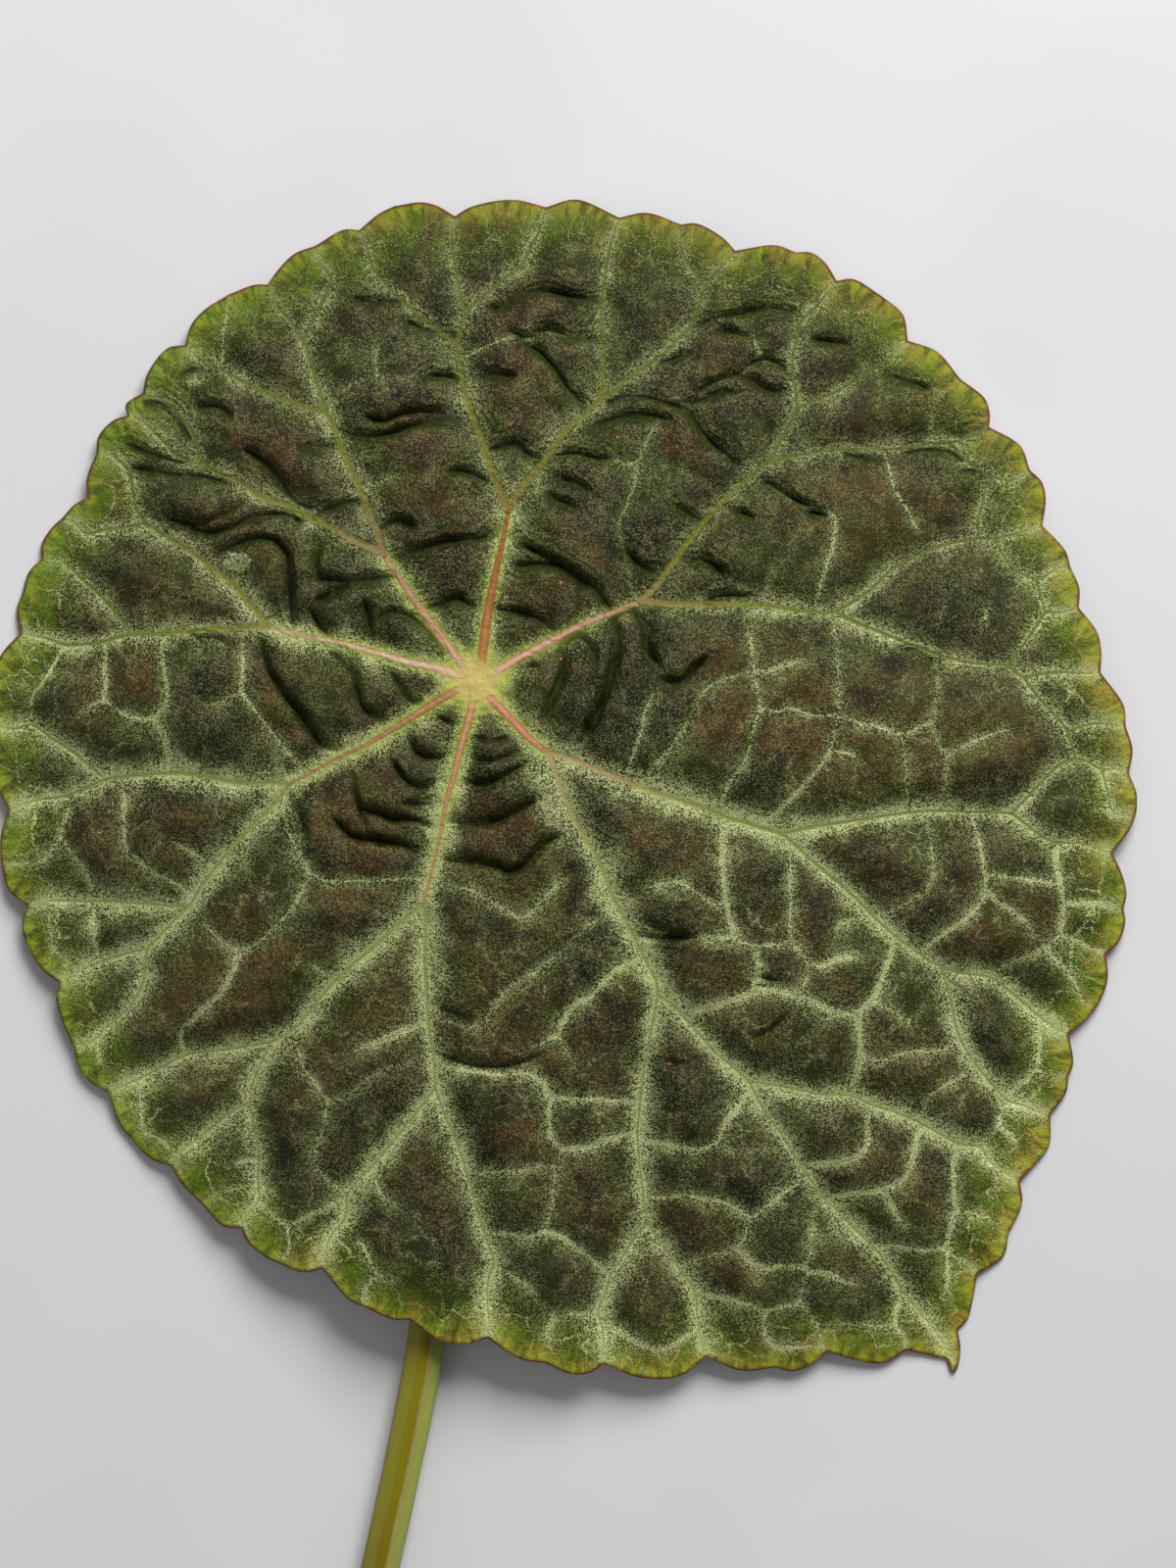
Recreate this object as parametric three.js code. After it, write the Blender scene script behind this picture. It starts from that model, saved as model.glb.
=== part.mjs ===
// A begonia leaf as picked: a round, quilted blade carried near its middle by its own stalk.
// It lies face up. Millimetres, +Z up, the table at z = 0, the origin under the middle of the leaf.
import * as THREE from 'three';

// Driving dimensions
const GRID = 0.15; // one step of the grid that the leaf is drawn on
const HUB = [488, 697]; // where the veins meet over the stalk, in grid steps right and down
const HUB_HEIGHT = 17.5; // the blade's underside at the hub, before the pad under it
const DOME_POWER = 1.6; // how the blade falls from the hub to its margin
const THICK_AT_HUB = 1.0;
const THICK_AT_MARGIN = 0.7;
const ARCH_HEIGHT = 8.2; // the margin's lift where the stalk passes under it
const ARCH_ANGLE = 0.36; // half width of that lift, in radians round the hub
const WAVE_HEIGHT = 1.8; // the margin's slow waves between the places where it touches the table
const WAVES = 5;
const WAVE_TURN = 0.6;
const MARGIN_AVERAGE = 0.16; // radians over which the lobes average to the blade's round reach

// Relief: the panels between the veins stand up like a quilt, with folds near the hub
const QUILT_HEIGHT = 2.9;
const QUILT_REACH = 4.8; // distance from a vein at which a panel has most of its height
const CROSS_LEAST = 0.5; // share of the height that stays over a cross vein
const CROSS_REACH = 2.2;
const FOLD_LEAST = 0.3; // share that stays over a fold
const FOLD_REACH = 1.8;
const MARGIN_FADE = 11; // the quilt runs out over this distance to the margin
const HUB_FADE = 7;

// Ribs that stand down from the underside: height and half width for each order of vein
const RIBS = { main: [1.5, 1.3], side: [0.9, 1.0], cross: [0.35, 0.8] };
const RIB_FADE = 7;
const PAD_RADIUS = 3.9; // flat pad under the hub, where the stalk meets the blade
const PAD_DEPTH = 1.5;
const PAD_FADE = 3;

// Stalk
const STALK_RADIUS = 2.85;
const STALK_RIDGE = 0.14; // height of the lengthwise ridges
const RIDGES = 5;
const STALK_SIDES = 15;
const FLAT_ANGLE = 0.39; // half the turn round the stalk that its flat underside takes
const PRESSED = 0.05; // how far that underside is flattened against the table
const NECK_GROWTH = 0.8; // how much the stalk widens into the hub
const NECK_LENGTH = 7;
const BEND_RADIUS = 12.2;
const BEND_STEPS = 10;
const RUN_STEPS = 34;
const CUT_SLANT = 0.5; // length that the cut end gains for each unit of height
const JOINT_GAP = 0.3;
const STALK_ROUTE = [[436, 1358], [426, 1420], [388, 1600], [364, 1700]]; // to the cut end

// Mesh steps
const MARGIN_STEP = 2.0;
const INNER_RING = 1.9; // distance from the margin of a row of points that follows it
const RING_STEP = 3;
const MAIN_STEP = 2.6;
const SIDE_STEP = 3.3;
const CROSS_STEP = 4.0;
const FOLD_STEP = 2.6;
const FILL_NEAR = 2.7; // spacing of the free points near the hub
const FILL_FAR = 4.4;
const NEAR_HUB = 34;
const CLEAR_SHARE = 0.62; // no two points come nearer than this share of their step
const EDGE_CLEAR = 1.25;
const STAGGER = 0.22; // how far a free point is moved off its grid, as a share of the spacing
const ROW_SHARE = 0.87; // height of a row of the grid, as a share of the spacing
const SLOPE_PROBE = 0.4;
const FAR_OFF = 1e4; // corners of the triangle that the meshing starts from

// Lobes of the margin, clockwise from the top, each from its notch to just before the next one
const LOBES = [
  [[464, 220], [481, 210], [524, 203]], [[557, 211], [588, 203]], [[632, 222], [660, 217]],
  [[695, 229], [711, 228], [738, 243]], [[750, 256], [792, 250]], [[812, 257], [828, 257], [842, 267]],
  [[854, 286], [871, 284]], [[900, 301], [922, 320]], [[927, 347], [957, 358]],
  [[981, 386], [1006, 406], [1011, 422]], [[1010, 435], [1042, 454]],
  [[1052, 479], [1064, 491], [1068, 508]], [[1064, 536], [1088, 562]], [[1093, 579], [1102, 600]],
  [[1101, 620], [1120, 645], [1124, 664]], [[1123, 686], [1147, 720]], [[1149, 741], [1156, 765]],
  [[1152, 789], [1161, 814], [1156, 841]], [[1135, 871], [1144, 889], [1150, 911]],
  [[1147, 928], [1149, 941], [1142, 962]], [[1129, 974], [1131, 1000], [1117, 1032]],
  [[1091, 1055], [1096, 1086]], [[1091, 1099], [1089, 1115]],
  [[1072, 1139], [1073, 1150], [1071, 1171]], [[1041, 1206], [1044, 1228]],
  [[1030, 1260], [1025, 1283]], [[998, 1301], [993, 1330], [988, 1348]], [[978, 1358], [981, 1383]],
  [[974, 1402], [967, 1388], [957, 1386]], [[925, 1379], [903, 1392], [879, 1390]],
  [[844, 1380], [825, 1395], [807, 1400]], [[791, 1396], [757, 1399]],
  [[720, 1384], [701, 1400], [685, 1406], [650, 1404]], [[616, 1390], [602, 1399], [583, 1400]],
  [[556, 1388], [532, 1384]], [[498, 1362], [476, 1368], [449, 1364]], [[419, 1343], [402, 1343]],
  [[372, 1330], [359, 1325]], [[330, 1292], [316, 1296], [303, 1295]],
  [[284, 1287], [272, 1282], [252, 1265]], [[247, 1253], [228, 1251]], [[206, 1229], [185, 1208]],
  [[174, 1190], [153, 1183]], [[131, 1161], [120, 1147]], [[110, 1115], [94, 1107], [80, 1091]],
  [[75, 1071], [62, 1040], [57, 1018]], [[61, 1003], [43, 990], [24, 956], [23, 937]],
  [[28, 925], [8, 908], [3, 892], [0, 857]], [[8, 826], [-10, 790]], [[-12, 741], [-16, 718]],
  [[-12, 696], [1, 666]], [[20, 646], [16, 621]], [[21, 607], [29, 582]],
  [[42, 570], [41, 556], [51, 539]], [[64, 527], [75, 515]], [[90, 507], [88, 490]],
  [[98, 462], [100, 445], [115, 429]], [[130, 424], [128, 413]], [[146, 401], [150, 382], [171, 355]],
  [[189, 352], [195, 331], [208, 316]], [[233, 300], [260, 290]], [[273, 290], [284, 274], [300, 258]],
  [[321, 250], [351, 233]], [[366, 234], [386, 217]], [[402, 209], [430, 205], [446, 209]],
];

// The seven main veins, from the hub out
const MAIN_VEINS = [
  [[493, 680], [498, 640], [505, 600], [516, 548], [520, 524]],
  [[498, 693], [524, 678], [551, 663], [578, 649], [604, 636], [631, 626], [654, 616]],
  [[492, 704], [508, 720], [524, 736], [540, 753], [556, 766]],
  [[486, 710], [481, 734], [473, 761], [465, 793], [457, 822], [453, 846], [445, 881], [438, 908],
   [435, 921]],
  [[470, 705], [444, 720], [417, 737], [396, 750], [375, 762], [348, 774], [321, 789], [300, 800]],
  [[478, 694], [444, 683], [417, 677], [388, 668], [348, 658], [308, 650], [277, 641]],
  [[481, 690], [468, 672], [449, 648], [430, 621], [412, 595], [394, 568]],
];

// Their branches, out to the notches of the margin
const SIDE_VEINS = [
  [[520, 524], [505, 489], [497, 465], [486, 436], [478, 412], [472, 385], [468, 355], [471, 337],
   [476, 320]],
  [[468, 355], [454, 345], [430, 326], [406, 304], [396, 294], [380, 272], [375, 254], [366, 234]],
  [[476, 320], [471, 307], [466, 280], [462, 254], [461, 232], [464, 220]],
  [[476, 320], [497, 302], [519, 283], [533, 272], [540, 257], [551, 235], [557, 211]],
  [[520, 524], [535, 500], [551, 481], [569, 455], [583, 438], [599, 425], [612, 411]],
  [[612, 411], [615, 388], [614, 361], [613, 334], [614, 307], [618, 280], [622, 254], [628, 235],
   [632, 222]],
  [[612, 411], [631, 398], [652, 382], [674, 366], [693, 347], [706, 334], [715, 307], [719, 294],
   [735, 275], [750, 256]],
  [[719, 294], [703, 272], [695, 254], [695, 229]],
  [[654, 616], [674, 594], [693, 567], [711, 543], [730, 521], [752, 500], [770, 484], [786, 468],
   [800, 443], [812, 419]],
  [[778, 476], [801, 470], [828, 464], [852, 461], [876, 460], [900, 460], [927, 458], [946, 453],
   [970, 452], [994, 444], [1010, 435]],
  [[970, 452], [978, 464], [989, 473], [1008, 485], [1021, 489], [1037, 489], [1052, 479]],
  [[1008, 485], [1002, 513], [997, 532], [997, 549]],
  [[812, 419], [834, 409], [855, 400], [879, 385], [900, 371], [914, 358], [927, 347]],
  [[812, 419], [811, 404], [808, 382], [808, 366], [813, 347], [817, 329], [834, 312], [844, 299],
   [854, 286]],
  [[654, 616], [685, 619], [738, 619], [778, 620], [807, 624], [834, 627], [850, 626]],
  [[850, 626], [874, 612], [890, 600], [906, 584], [927, 572], [943, 564], [967, 556], [992, 550],
   [1013, 550], [1034, 545], [1064, 536]],
  [[1013, 550], [1026, 572], [1042, 586], [1057, 591], [1069, 586], [1083, 578], [1093, 579]],
  [[1057, 591], [1059, 602], [1066, 624]],
  [[850, 626], [874, 638], [900, 648], [927, 659], [951, 668], [973, 674], [1000, 678], [1026, 680],
   [1042, 691], [1061, 688], [1083, 686], [1101, 687], [1123, 686]],
  [[1026, 680], [1042, 659], [1056, 640], [1066, 625], [1083, 625], [1101, 620]],
  [[1042, 691], [1050, 702], [1061, 715], [1075, 731], [1088, 746], [1092, 761], [1096, 774]],
  [[1088, 746], [1101, 742], [1117, 738], [1131, 739], [1149, 741]],
  [[1096, 774], [1109, 777], [1123, 785], [1136, 784], [1152, 789]],
  [[1123, 785], [1127, 798], [1131, 814], [1134, 828], [1152, 833]],
  [[556, 766], [577, 773], [604, 783], [631, 795], [658, 805], [685, 814], [711, 822], [738, 833],
   [765, 841], [796, 850]],
  [[796, 850], [834, 842], [874, 836], [914, 830], [946, 827], [981, 828], [1021, 829], [1029, 830],
   [1045, 841], [1061, 853], [1075, 859], [1099, 860], [1115, 864], [1135, 871]],
  [[1029, 830], [1040, 820], [1053, 806], [1069, 790], [1083, 778], [1096, 774]],
  [[796, 850], [812, 864], [828, 879], [847, 895], [868, 913], [892, 937], [909, 952], [930, 968],
   [954, 983], [981, 992], [1008, 996], [1032, 1013], [1050, 1028], [1064, 1040], [1080, 1050],
   [1091, 1055]],
  [[957, 984], [964, 1003], [970, 1027], [975, 1051], [984, 1070], [1000, 1092], [1021, 1116],
   [1028, 1123], [1042, 1127], [1061, 1135], [1072, 1139]],
  [[556, 766], [561, 774], [569, 793], [577, 814], [588, 838], [602, 862], [615, 889], [628, 919],
   [642, 945], [655, 972], [669, 1000], [670, 1012]],
  [[670, 1012], [666, 1037], [660, 1067], [655, 1099], [652, 1129], [650, 1153], [652, 1182],
   [655, 1209], [661, 1244], [674, 1265], [693, 1292], [709, 1317], [711, 1337], [714, 1359],
   [720, 1384]],
  [[661, 1244], [647, 1260], [634, 1281], [623, 1297], [618, 1316], [610, 1335], [615, 1354],
   [616, 1390]],
  [[670, 1012], [690, 1027], [711, 1051], [730, 1072], [749, 1088], [763, 1101]],
  [[763, 1101], [780, 1103], [807, 1108], [834, 1114], [866, 1116], [887, 1125], [914, 1134],
   [941, 1146], [967, 1161], [981, 1167], [1000, 1170], [1010, 1185], [1026, 1197], [1041, 1206]],
  [[763, 1101], [778, 1130], [796, 1155], [815, 1185], [834, 1214], [850, 1230], [871, 1252],
   [895, 1276], [909, 1297], [922, 1319], [938, 1337], [951, 1354], [965, 1375], [974, 1402]],
  [[435, 921], [437, 935], [436, 975], [438, 1012], [441, 1054], [445, 1078], [446, 1106]],
  [[446, 1106], [425, 1134], [403, 1161], [383, 1185], [367, 1201], [356, 1217], [355, 1238],
   [340, 1257], [332, 1279], [330, 1292]],
  [[446, 1106], [457, 1137], [470, 1169], [478, 1193], [485, 1220], [492, 1244], [500, 1268],
   [505, 1287], [500, 1297], [498, 1321], [500, 1343], [498, 1362]],
  [[435, 921], [414, 937], [390, 959], [356, 988], [337, 1007], [321, 1027], [300, 1050], [279, 1061]],
  [[279, 1061], [254, 1066], [228, 1070], [193, 1075], [166, 1088], [145, 1099], [129, 1106],
   [110, 1115]],
  [[279, 1061], [265, 1091], [258, 1110], [257, 1123], [261, 1150], [266, 1174], [265, 1204],
   [265, 1225], [254, 1236], [247, 1253]],
  [[257, 1123], [241, 1131], [220, 1147], [201, 1163], [182, 1177], [174, 1190]],
  [[300, 800], [281, 799], [241, 798], [214, 792], [182, 789], [147, 791], [112, 795], [94, 802],
   [70, 812], [40, 816], [8, 826]],
  [[300, 800], [279, 825], [257, 846], [236, 870], [214, 897], [197, 923]],
  [[197, 923], [185, 924], [150, 921], [112, 919], [75, 919], [51, 919], [28, 925]],
  [[197, 923], [182, 937], [166, 954], [153, 966], [134, 971], [107, 980], [80, 992], [61, 1003]],
  [[153, 966], [151, 980], [148, 1002], [131, 1030], [112, 1045], [94, 1063], [75, 1071]],
  [[277, 641], [241, 643], [201, 645], [161, 648], [139, 648], [107, 655], [86, 658], [67, 658],
   [51, 652], [32, 648], [20, 646]],
  [[139, 648], [123, 629], [107, 611], [88, 594], [72, 579], [59, 571], [42, 570]],
  [[277, 641], [268, 629], [254, 613], [246, 602], [222, 583], [201, 567], [177, 551], [150, 535]],
  [[150, 535], [129, 539], [107, 541], [88, 545], [78, 535], [64, 527]],
  [[150, 535], [142, 524], [138, 508], [134, 484], [126, 473], [115, 465], [98, 462]],
  [[394, 568], [388, 548], [380, 527], [372, 508], [362, 484], [351, 460], [343, 438], [335, 423],
   [327, 398], [319, 374], [311, 350], [297, 329], [284, 312], [277, 299], [273, 290]],
  [[335, 425], [308, 417], [279, 405], [249, 391], [228, 379], [212, 374], [200, 363], [189, 352]],
  [[311, 350], [321, 326], [332, 304], [339, 286], [332, 275], [325, 264], [321, 250]],
  [[394, 568], [375, 560], [348, 545], [321, 532], [295, 519], [268, 508], [252, 497], [236, 489],
   [214, 479], [198, 473], [185, 468], [171, 454], [155, 438], [142, 428], [130, 424]],
  [[214, 479], [206, 468], [202, 452], [195, 438], [185, 425], [171, 411], [158, 404], [146, 401]],
  [[104, 790], [91, 779], [75, 766], [54, 753], [32, 739], [16, 744], [0, 741], [-12, 741]],
];

// The net that ties the branches together
const CROSS_VEINS = [
  [[473, 369], [497, 358], [519, 349], [548, 343], [578, 347], [614, 350]],
  [[598, 422], [583, 401], [561, 374], [548, 358], [535, 347]], [[575, 446], [567, 430], [551, 409]],
  [[618, 406], [657, 406], [690, 413], [705, 420], [725, 452], [741, 470], [755, 484]],
  [[690, 430], [674, 433], [658, 457], [650, 479], [647, 497], [642, 513], [631, 540], [633, 556],
   [639, 580], [646, 614]],
  [[650, 479], [668, 480], [695, 484], [722, 500], [735, 513]],
  [[565, 470], [588, 468], [617, 473], [650, 479]],
  [[808, 371], [792, 374], [776, 366], [768, 350], [768, 335]],
  [[705, 420], [725, 398], [746, 387], [765, 374], [776, 366]],
  [[708, 334], [733, 328], [765, 320], [792, 316], [817, 312], [834, 312]],
  [[842, 315], [860, 318], [879, 319], [892, 307], [900, 301]],
  [[900, 372], [919, 384], [938, 386], [951, 393], [957, 401], [967, 398], [981, 386]],
  [[957, 401], [954, 412], [950, 433], [946, 453]],
  [[900, 460], [906, 481], [911, 503], [922, 521], [933, 540], [941, 556]],
  [[772, 494], [789, 503], [801, 511], [825, 521], [845, 527], [849, 530], [848, 554], [842, 575],
   [834, 602], [829, 622]],
  [[799, 556], [789, 575], [781, 602], [777, 618]],
  [[847, 632], [850, 654], [852, 680], [852, 707], [852, 731], [847, 750], [844, 766]],
  [[852, 731], [871, 738], [892, 742], [915, 750], [930, 745], [947, 737]],
  [[951, 669], [954, 688], [953, 712], [947, 734], [953, 758], [962, 771], [963, 787], [959, 812],
   [955, 826]],
  [[962, 771], [978, 763], [1000, 753], [1021, 745], [1040, 748]],
  [[915, 750], [919, 771], [922, 798], [922, 828]],
  [[844, 766], [834, 782], [817, 801], [799, 820], [780, 838], [772, 844]],
  [[844, 766], [868, 771], [887, 782]],
  [[757, 629], [762, 648], [766, 675], [769, 699], [772, 723], [765, 750], [757, 777], [741, 801],
   [733, 828]],
  [[772, 723], [792, 728], [801, 723], [825, 731], [852, 731]],
  [[766, 687], [749, 691], [727, 699], [714, 710], [703, 731], [687, 758], [671, 777], [658, 800]],
  [[679, 699], [666, 710], [658, 726], [652, 750], [644, 774], [636, 795]],
  [[594, 887], [575, 897], [561, 908], [548, 924], [535, 935], [519, 927], [497, 913], [478, 905],
   [457, 901], [441, 899]],
  [[620, 930], [599, 943], [583, 959], [564, 975], [548, 988], [529, 999], [519, 1006], [505, 1024],
   [497, 1037], [481, 1044], [465, 1040], [440, 1040]],
  [[650, 977], [631, 986], [615, 999], [604, 1013], [588, 1021], [577, 1035], [569, 1051], [556, 1059],
   [537, 1066]],
  [[569, 1051], [575, 1062], [588, 1085]],
  [[446, 1085], [470, 1087], [508, 1092], [535, 1091], [553, 1098], [561, 1115], [561, 1137],
   [564, 1158], [575, 1167]],
  [[575, 1167], [594, 1167], [615, 1161], [636, 1154], [650, 1153]],
  [[575, 1167], [569, 1187], [565, 1209], [561, 1233], [556, 1252]],
  [[556, 1252], [540, 1257], [519, 1254], [497, 1254]],
  [[556, 1252], [572, 1257], [588, 1268], [604, 1281], [620, 1296]],
  [[480, 1197], [505, 1191], [529, 1190], [551, 1185], [569, 1185]],
  [[561, 1116], [604, 1118], [652, 1121]],
  [[505, 1287], [519, 1295], [535, 1305], [551, 1321], [567, 1335], [580, 1337], [599, 1336],
   [610, 1335]],
  [[567, 1335], [560, 1351], [560, 1364], [572, 1374]],
  [[615, 1354], [626, 1354], [644, 1364], [660, 1372], [677, 1374], [693, 1367], [713, 1355]],
  [[709, 1317], [725, 1320], [746, 1324], [765, 1329], [781, 1335], [797, 1331], [815, 1327]],
  [[781, 1335], [778, 1348], [781, 1362], [792, 1374], [815, 1374], [840, 1372]],
  [[815, 1327], [828, 1343], [836, 1359], [840, 1375], [844, 1380]],
  [[815, 1327], [816, 1319], [823, 1292], [827, 1262], [831, 1233], [836, 1219]],
  [[837, 1350], [855, 1350], [882, 1351], [914, 1353]],
  [[922, 1319], [914, 1337], [914, 1353], [922, 1364], [925, 1379]],
  [[824, 1295], [844, 1297], [860, 1305], [882, 1311]],
  [[765, 1107], [752, 1126], [738, 1142], [731, 1161], [711, 1169], [685, 1165], [651, 1160]],
  [[731, 1161], [749, 1174], [770, 1171], [800, 1163]],
  [[656, 1217], [674, 1219], [698, 1216], [725, 1220], [749, 1228], [764, 1238], [776, 1232],
   [792, 1218], [810, 1206], [822, 1197]],
  [[764, 1238], [760, 1254], [752, 1270], [735, 1275], [717, 1281], [690, 1288]],
  [[752, 1270], [765, 1284], [781, 1292], [796, 1289], [822, 1291]],
  [[978, 1166], [973, 1180], [972, 1219], [974, 1234], [967, 1257], [965, 1273]],
  [[974, 1234], [992, 1237], [1010, 1244], [1030, 1260]],
  [[965, 1273], [975, 1283], [989, 1291], [998, 1301]],
  [[893, 1273], [909, 1270], [927, 1273], [946, 1275], [965, 1273]],
  [[965, 1273], [967, 1308], [965, 1335]],
  [[937, 1144], [934, 1161], [929, 1182], [922, 1198], [914, 1205], [900, 1211], [882, 1214],
   [860, 1217], [838, 1220]],
  [[900, 1211], [909, 1228], [919, 1246], [935, 1252]],
  [[884, 1126], [883, 1150], [882, 1166], [876, 1175], [860, 1182], [842, 1185], [815, 1186]],
  [[935, 1143], [946, 1118], [962, 1107], [978, 1099], [995, 1086]],
  [[1028, 1123], [1022, 1131], [1017, 1150], [1005, 1163], [1000, 1170]],
  [[1028, 1118], [1042, 1104], [1057, 1092], [1059, 1075], [1060, 1054], [1064, 1041]],
  [[1057, 1092], [1075, 1098], [1091, 1099]], [[1017, 1150], [1032, 1160], [1045, 1177]],
  [[911, 954], [906, 975], [898, 994], [887, 1019], [874, 1031], [874, 1054], [875, 1075], [872, 1091],
   [867, 1115]],
  [[875, 1075], [895, 1080], [914, 1074], [933, 1071], [951, 1072], [978, 1062]],
  [[887, 1019], [903, 1027], [925, 1040], [945, 1045]],
  [[874, 1031], [852, 1031], [834, 1023], [807, 1012], [776, 1008], [749, 1016], [725, 1024],
   [702, 1030]],
  [[803, 858], [804, 889], [804, 921], [804, 948], [809, 964], [820, 980], [820, 999], [808, 1012]],
  [[820, 980], [834, 983], [858, 975], [880, 978]],
  [[1075, 860], [1076, 881], [1080, 903], [1083, 921], [1080, 950]],
  [[1083, 921], [1101, 921], [1125, 923], [1147, 928]],
  [[1080, 953], [1096, 959], [1112, 967], [1129, 974]],
  [[1080, 953], [1064, 967], [1042, 976], [1021, 987], [1008, 996]],
  [[1064, 967], [1083, 986], [1096, 1002], [1104, 1020], [1117, 1029]],
  [[941, 829], [946, 857], [949, 879], [946, 900], [933, 913], [914, 924], [893, 935]],
  [[987, 829], [994, 849], [998, 868], [1002, 892], [1003, 911], [992, 927], [973, 943], [954, 956],
   [938, 972]],
  [[1002, 892], [1016, 893], [1040, 896], [1060, 899], [1078, 902]],
  [[228, 375], [229, 350], [231, 325], [233, 300]], [[231, 325], [250, 320], [270, 312]],
  [[339, 418], [352, 402], [367, 394], [386, 388], [404, 389], [420, 388], [445, 380], [470, 372]],
  [[387, 388], [386, 370], [382, 342]], [[375, 505], [390, 497], [405, 491], [420, 489]],
  [[67, 658], [60, 672], [54, 683], [45, 697], [35, 710], [33, 725], [32, 739]],
  [[35, 710], [24, 700], [0, 696]],
  [[171, 651], [169, 672], [174, 694], [175, 718], [164, 734], [171, 750], [177, 771], [180, 788]],
  [[110, 655], [110, 675], [112, 700], [110, 717]], [[80, 731], [110, 717], [134, 731], [164, 734]],
  [[252, 645], [252, 660], [253, 680], [253, 707], [268, 729], [284, 750], [297, 766], [311, 782],
   [321, 789]],
  [[253, 707], [236, 715], [222, 719], [209, 718]], [[154, 600], [153, 625], [152, 645]],
  [[128, 796], [131, 828], [131, 849], [134, 865], [150, 881], [166, 892], [187, 903], [200, 915]],
  [[171, 852], [193, 865], [211, 876], [222, 885]],
  [[78, 810], [72, 828], [64, 854], [54, 870], [40, 881], [27, 881], [2, 884]],
  [[67, 857], [91, 889], [99, 916]], [[51, 921], [53, 945], [55, 967], [70, 980], [80, 990]],
  [[99, 921], [97, 948], [102, 975]],
  [[205, 930], [214, 943], [230, 959], [249, 967], [268, 959], [289, 940], [305, 921], [316, 900],
   [319, 884], [308, 868], [297, 841], [290, 814]],
  [[249, 967], [244, 983], [238, 996], [228, 1012], [214, 1024], [198, 1040], [187, 1054], [190, 1074]],
  [[317, 886], [335, 897], [362, 897], [388, 897], [420, 895], [441, 897]],
  [[313, 972], [329, 986], [345, 999]],
  [[303, 1055], [313, 1086], [327, 1104], [337, 1118], [356, 1115], [375, 1099], [394, 1088],
   [420, 1078], [443, 1070]],
  [[337, 1118], [336, 1129], [332, 1150], [324, 1171], [324, 1185], [332, 1196], [352, 1212]],
  [[356, 1072], [380, 1062], [402, 1054], [420, 1046], [439, 1040]],
  [[142, 1102], [145, 1129], [147, 1155], [161, 1161], [180, 1175]],
  [[97, 1062], [104, 1086], [112, 1103]], [[264, 1201], [241, 1212], [222, 1217], [207, 1228]],
  [[265, 1226], [281, 1238], [295, 1246], [316, 1238], [337, 1228], [354, 1220]],
  [[295, 1246], [296, 1260], [296, 1273], [286, 1287]],
  [[362, 1249], [375, 1273], [383, 1289], [391, 1297], [410, 1303]],
  [[386, 1297], [375, 1311], [373, 1329]], [[380, 1190], [396, 1220], [412, 1230], [420, 1241]],
  [[370, 1166], [386, 1180]], [[228, 1185], [250, 1183], [265, 1180]],
];

// Folds pressed into the panels round the hub
const FOLDS = [
  [[508, 624], [532, 627], [551, 635], [567, 647]], [[438, 624], [452, 619], [468, 613], [484, 621]],
  [[390, 637], [403, 627], [422, 632], [441, 648], [454, 667]],
  [[521, 718], [532, 696], [537, 683], [551, 683]],
  [[556, 739], [564, 715], [575, 688], [577, 662], [591, 652], [602, 662], [607, 680]],
  [[596, 755], [610, 729], [623, 694], [631, 654], [628, 635], [642, 627], [655, 643], [660, 667],
   [674, 683]],
  [[674, 695], [693, 699], [706, 688], [719, 672]], [[489, 737], [500, 739], [513, 737]],
  [[484, 755], [502, 758], [521, 755]], [[486, 777], [505, 777], [524, 771], [535, 769]],
  [[476, 798], [497, 801], [519, 790], [540, 777]], [[462, 838], [492, 841], [519, 833], [548, 817]],
  [[457, 876], [484, 879], [513, 884], [521, 889], [540, 879], [561, 857], [575, 852]],
  [[449, 731], [460, 739], [470, 739]], [[419, 750], [430, 771], [446, 774], [462, 771]],
  [[403, 777], [419, 798], [433, 804], [446, 798]], [[417, 820], [446, 820]],
  [[375, 825], [390, 830], [403, 836], [425, 836], [444, 844]],
  [[348, 836], [362, 852], [388, 857], [411, 861], [428, 868]], [[362, 787], [367, 814], [375, 838]],
  [[300, 812], [311, 833], [316, 852]], [[398, 683], [411, 702], [419, 715], [430, 720]],
  [[340, 667], [362, 688], [372, 720], [388, 737], [399, 738]],
  [[276, 683], [295, 712], [319, 742], [335, 763], [348, 766]], [[297, 570], [299, 600], [303, 640]],
  [[230, 564], [257, 554], [284, 554], [297, 570]], [[321, 594], [362, 596], [402, 591]],
  [[329, 527], [348, 519], [370, 513]], [[308, 462], [330, 459], [348, 457]],
  [[354, 446], [375, 449], [400, 440], [420, 430]], [[171, 530], [209, 537], [228, 529], [252, 516]],
  [[650, 952], [680, 955], [705, 954]],
];

const onPlan = ([right, down]) => new THREE.Vector2((right - HUB[0]) * GRID, (HUB[1] - down) * GRID);
const smooth = (value) => THREE.MathUtils.smoothstep(value, 0, 1);
const rise = (value) => 1 - Math.exp(-value * value);
const bell = (value) => Math.exp(-value * value);
const turnBetween = (a, b) => Math.abs(Math.atan2(Math.sin(a - b), Math.cos(a - b)));

// Points at even steps along a smooth curve through the given grid points
function alongCurve(gridPoints, step) {
  const corners = gridPoints.map((point) => {
    const { x, y } = onPlan(point);
    return new THREE.Vector3(x, y, 0);
  });
  const curve = new THREE.CatmullRomCurve3(corners);
  const count = Math.max(2, Math.round(curve.getLength() / step));
  return curve.getSpacedPoints(count).map(({ x, y }) => new THREE.Vector2(x, y));
}

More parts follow.
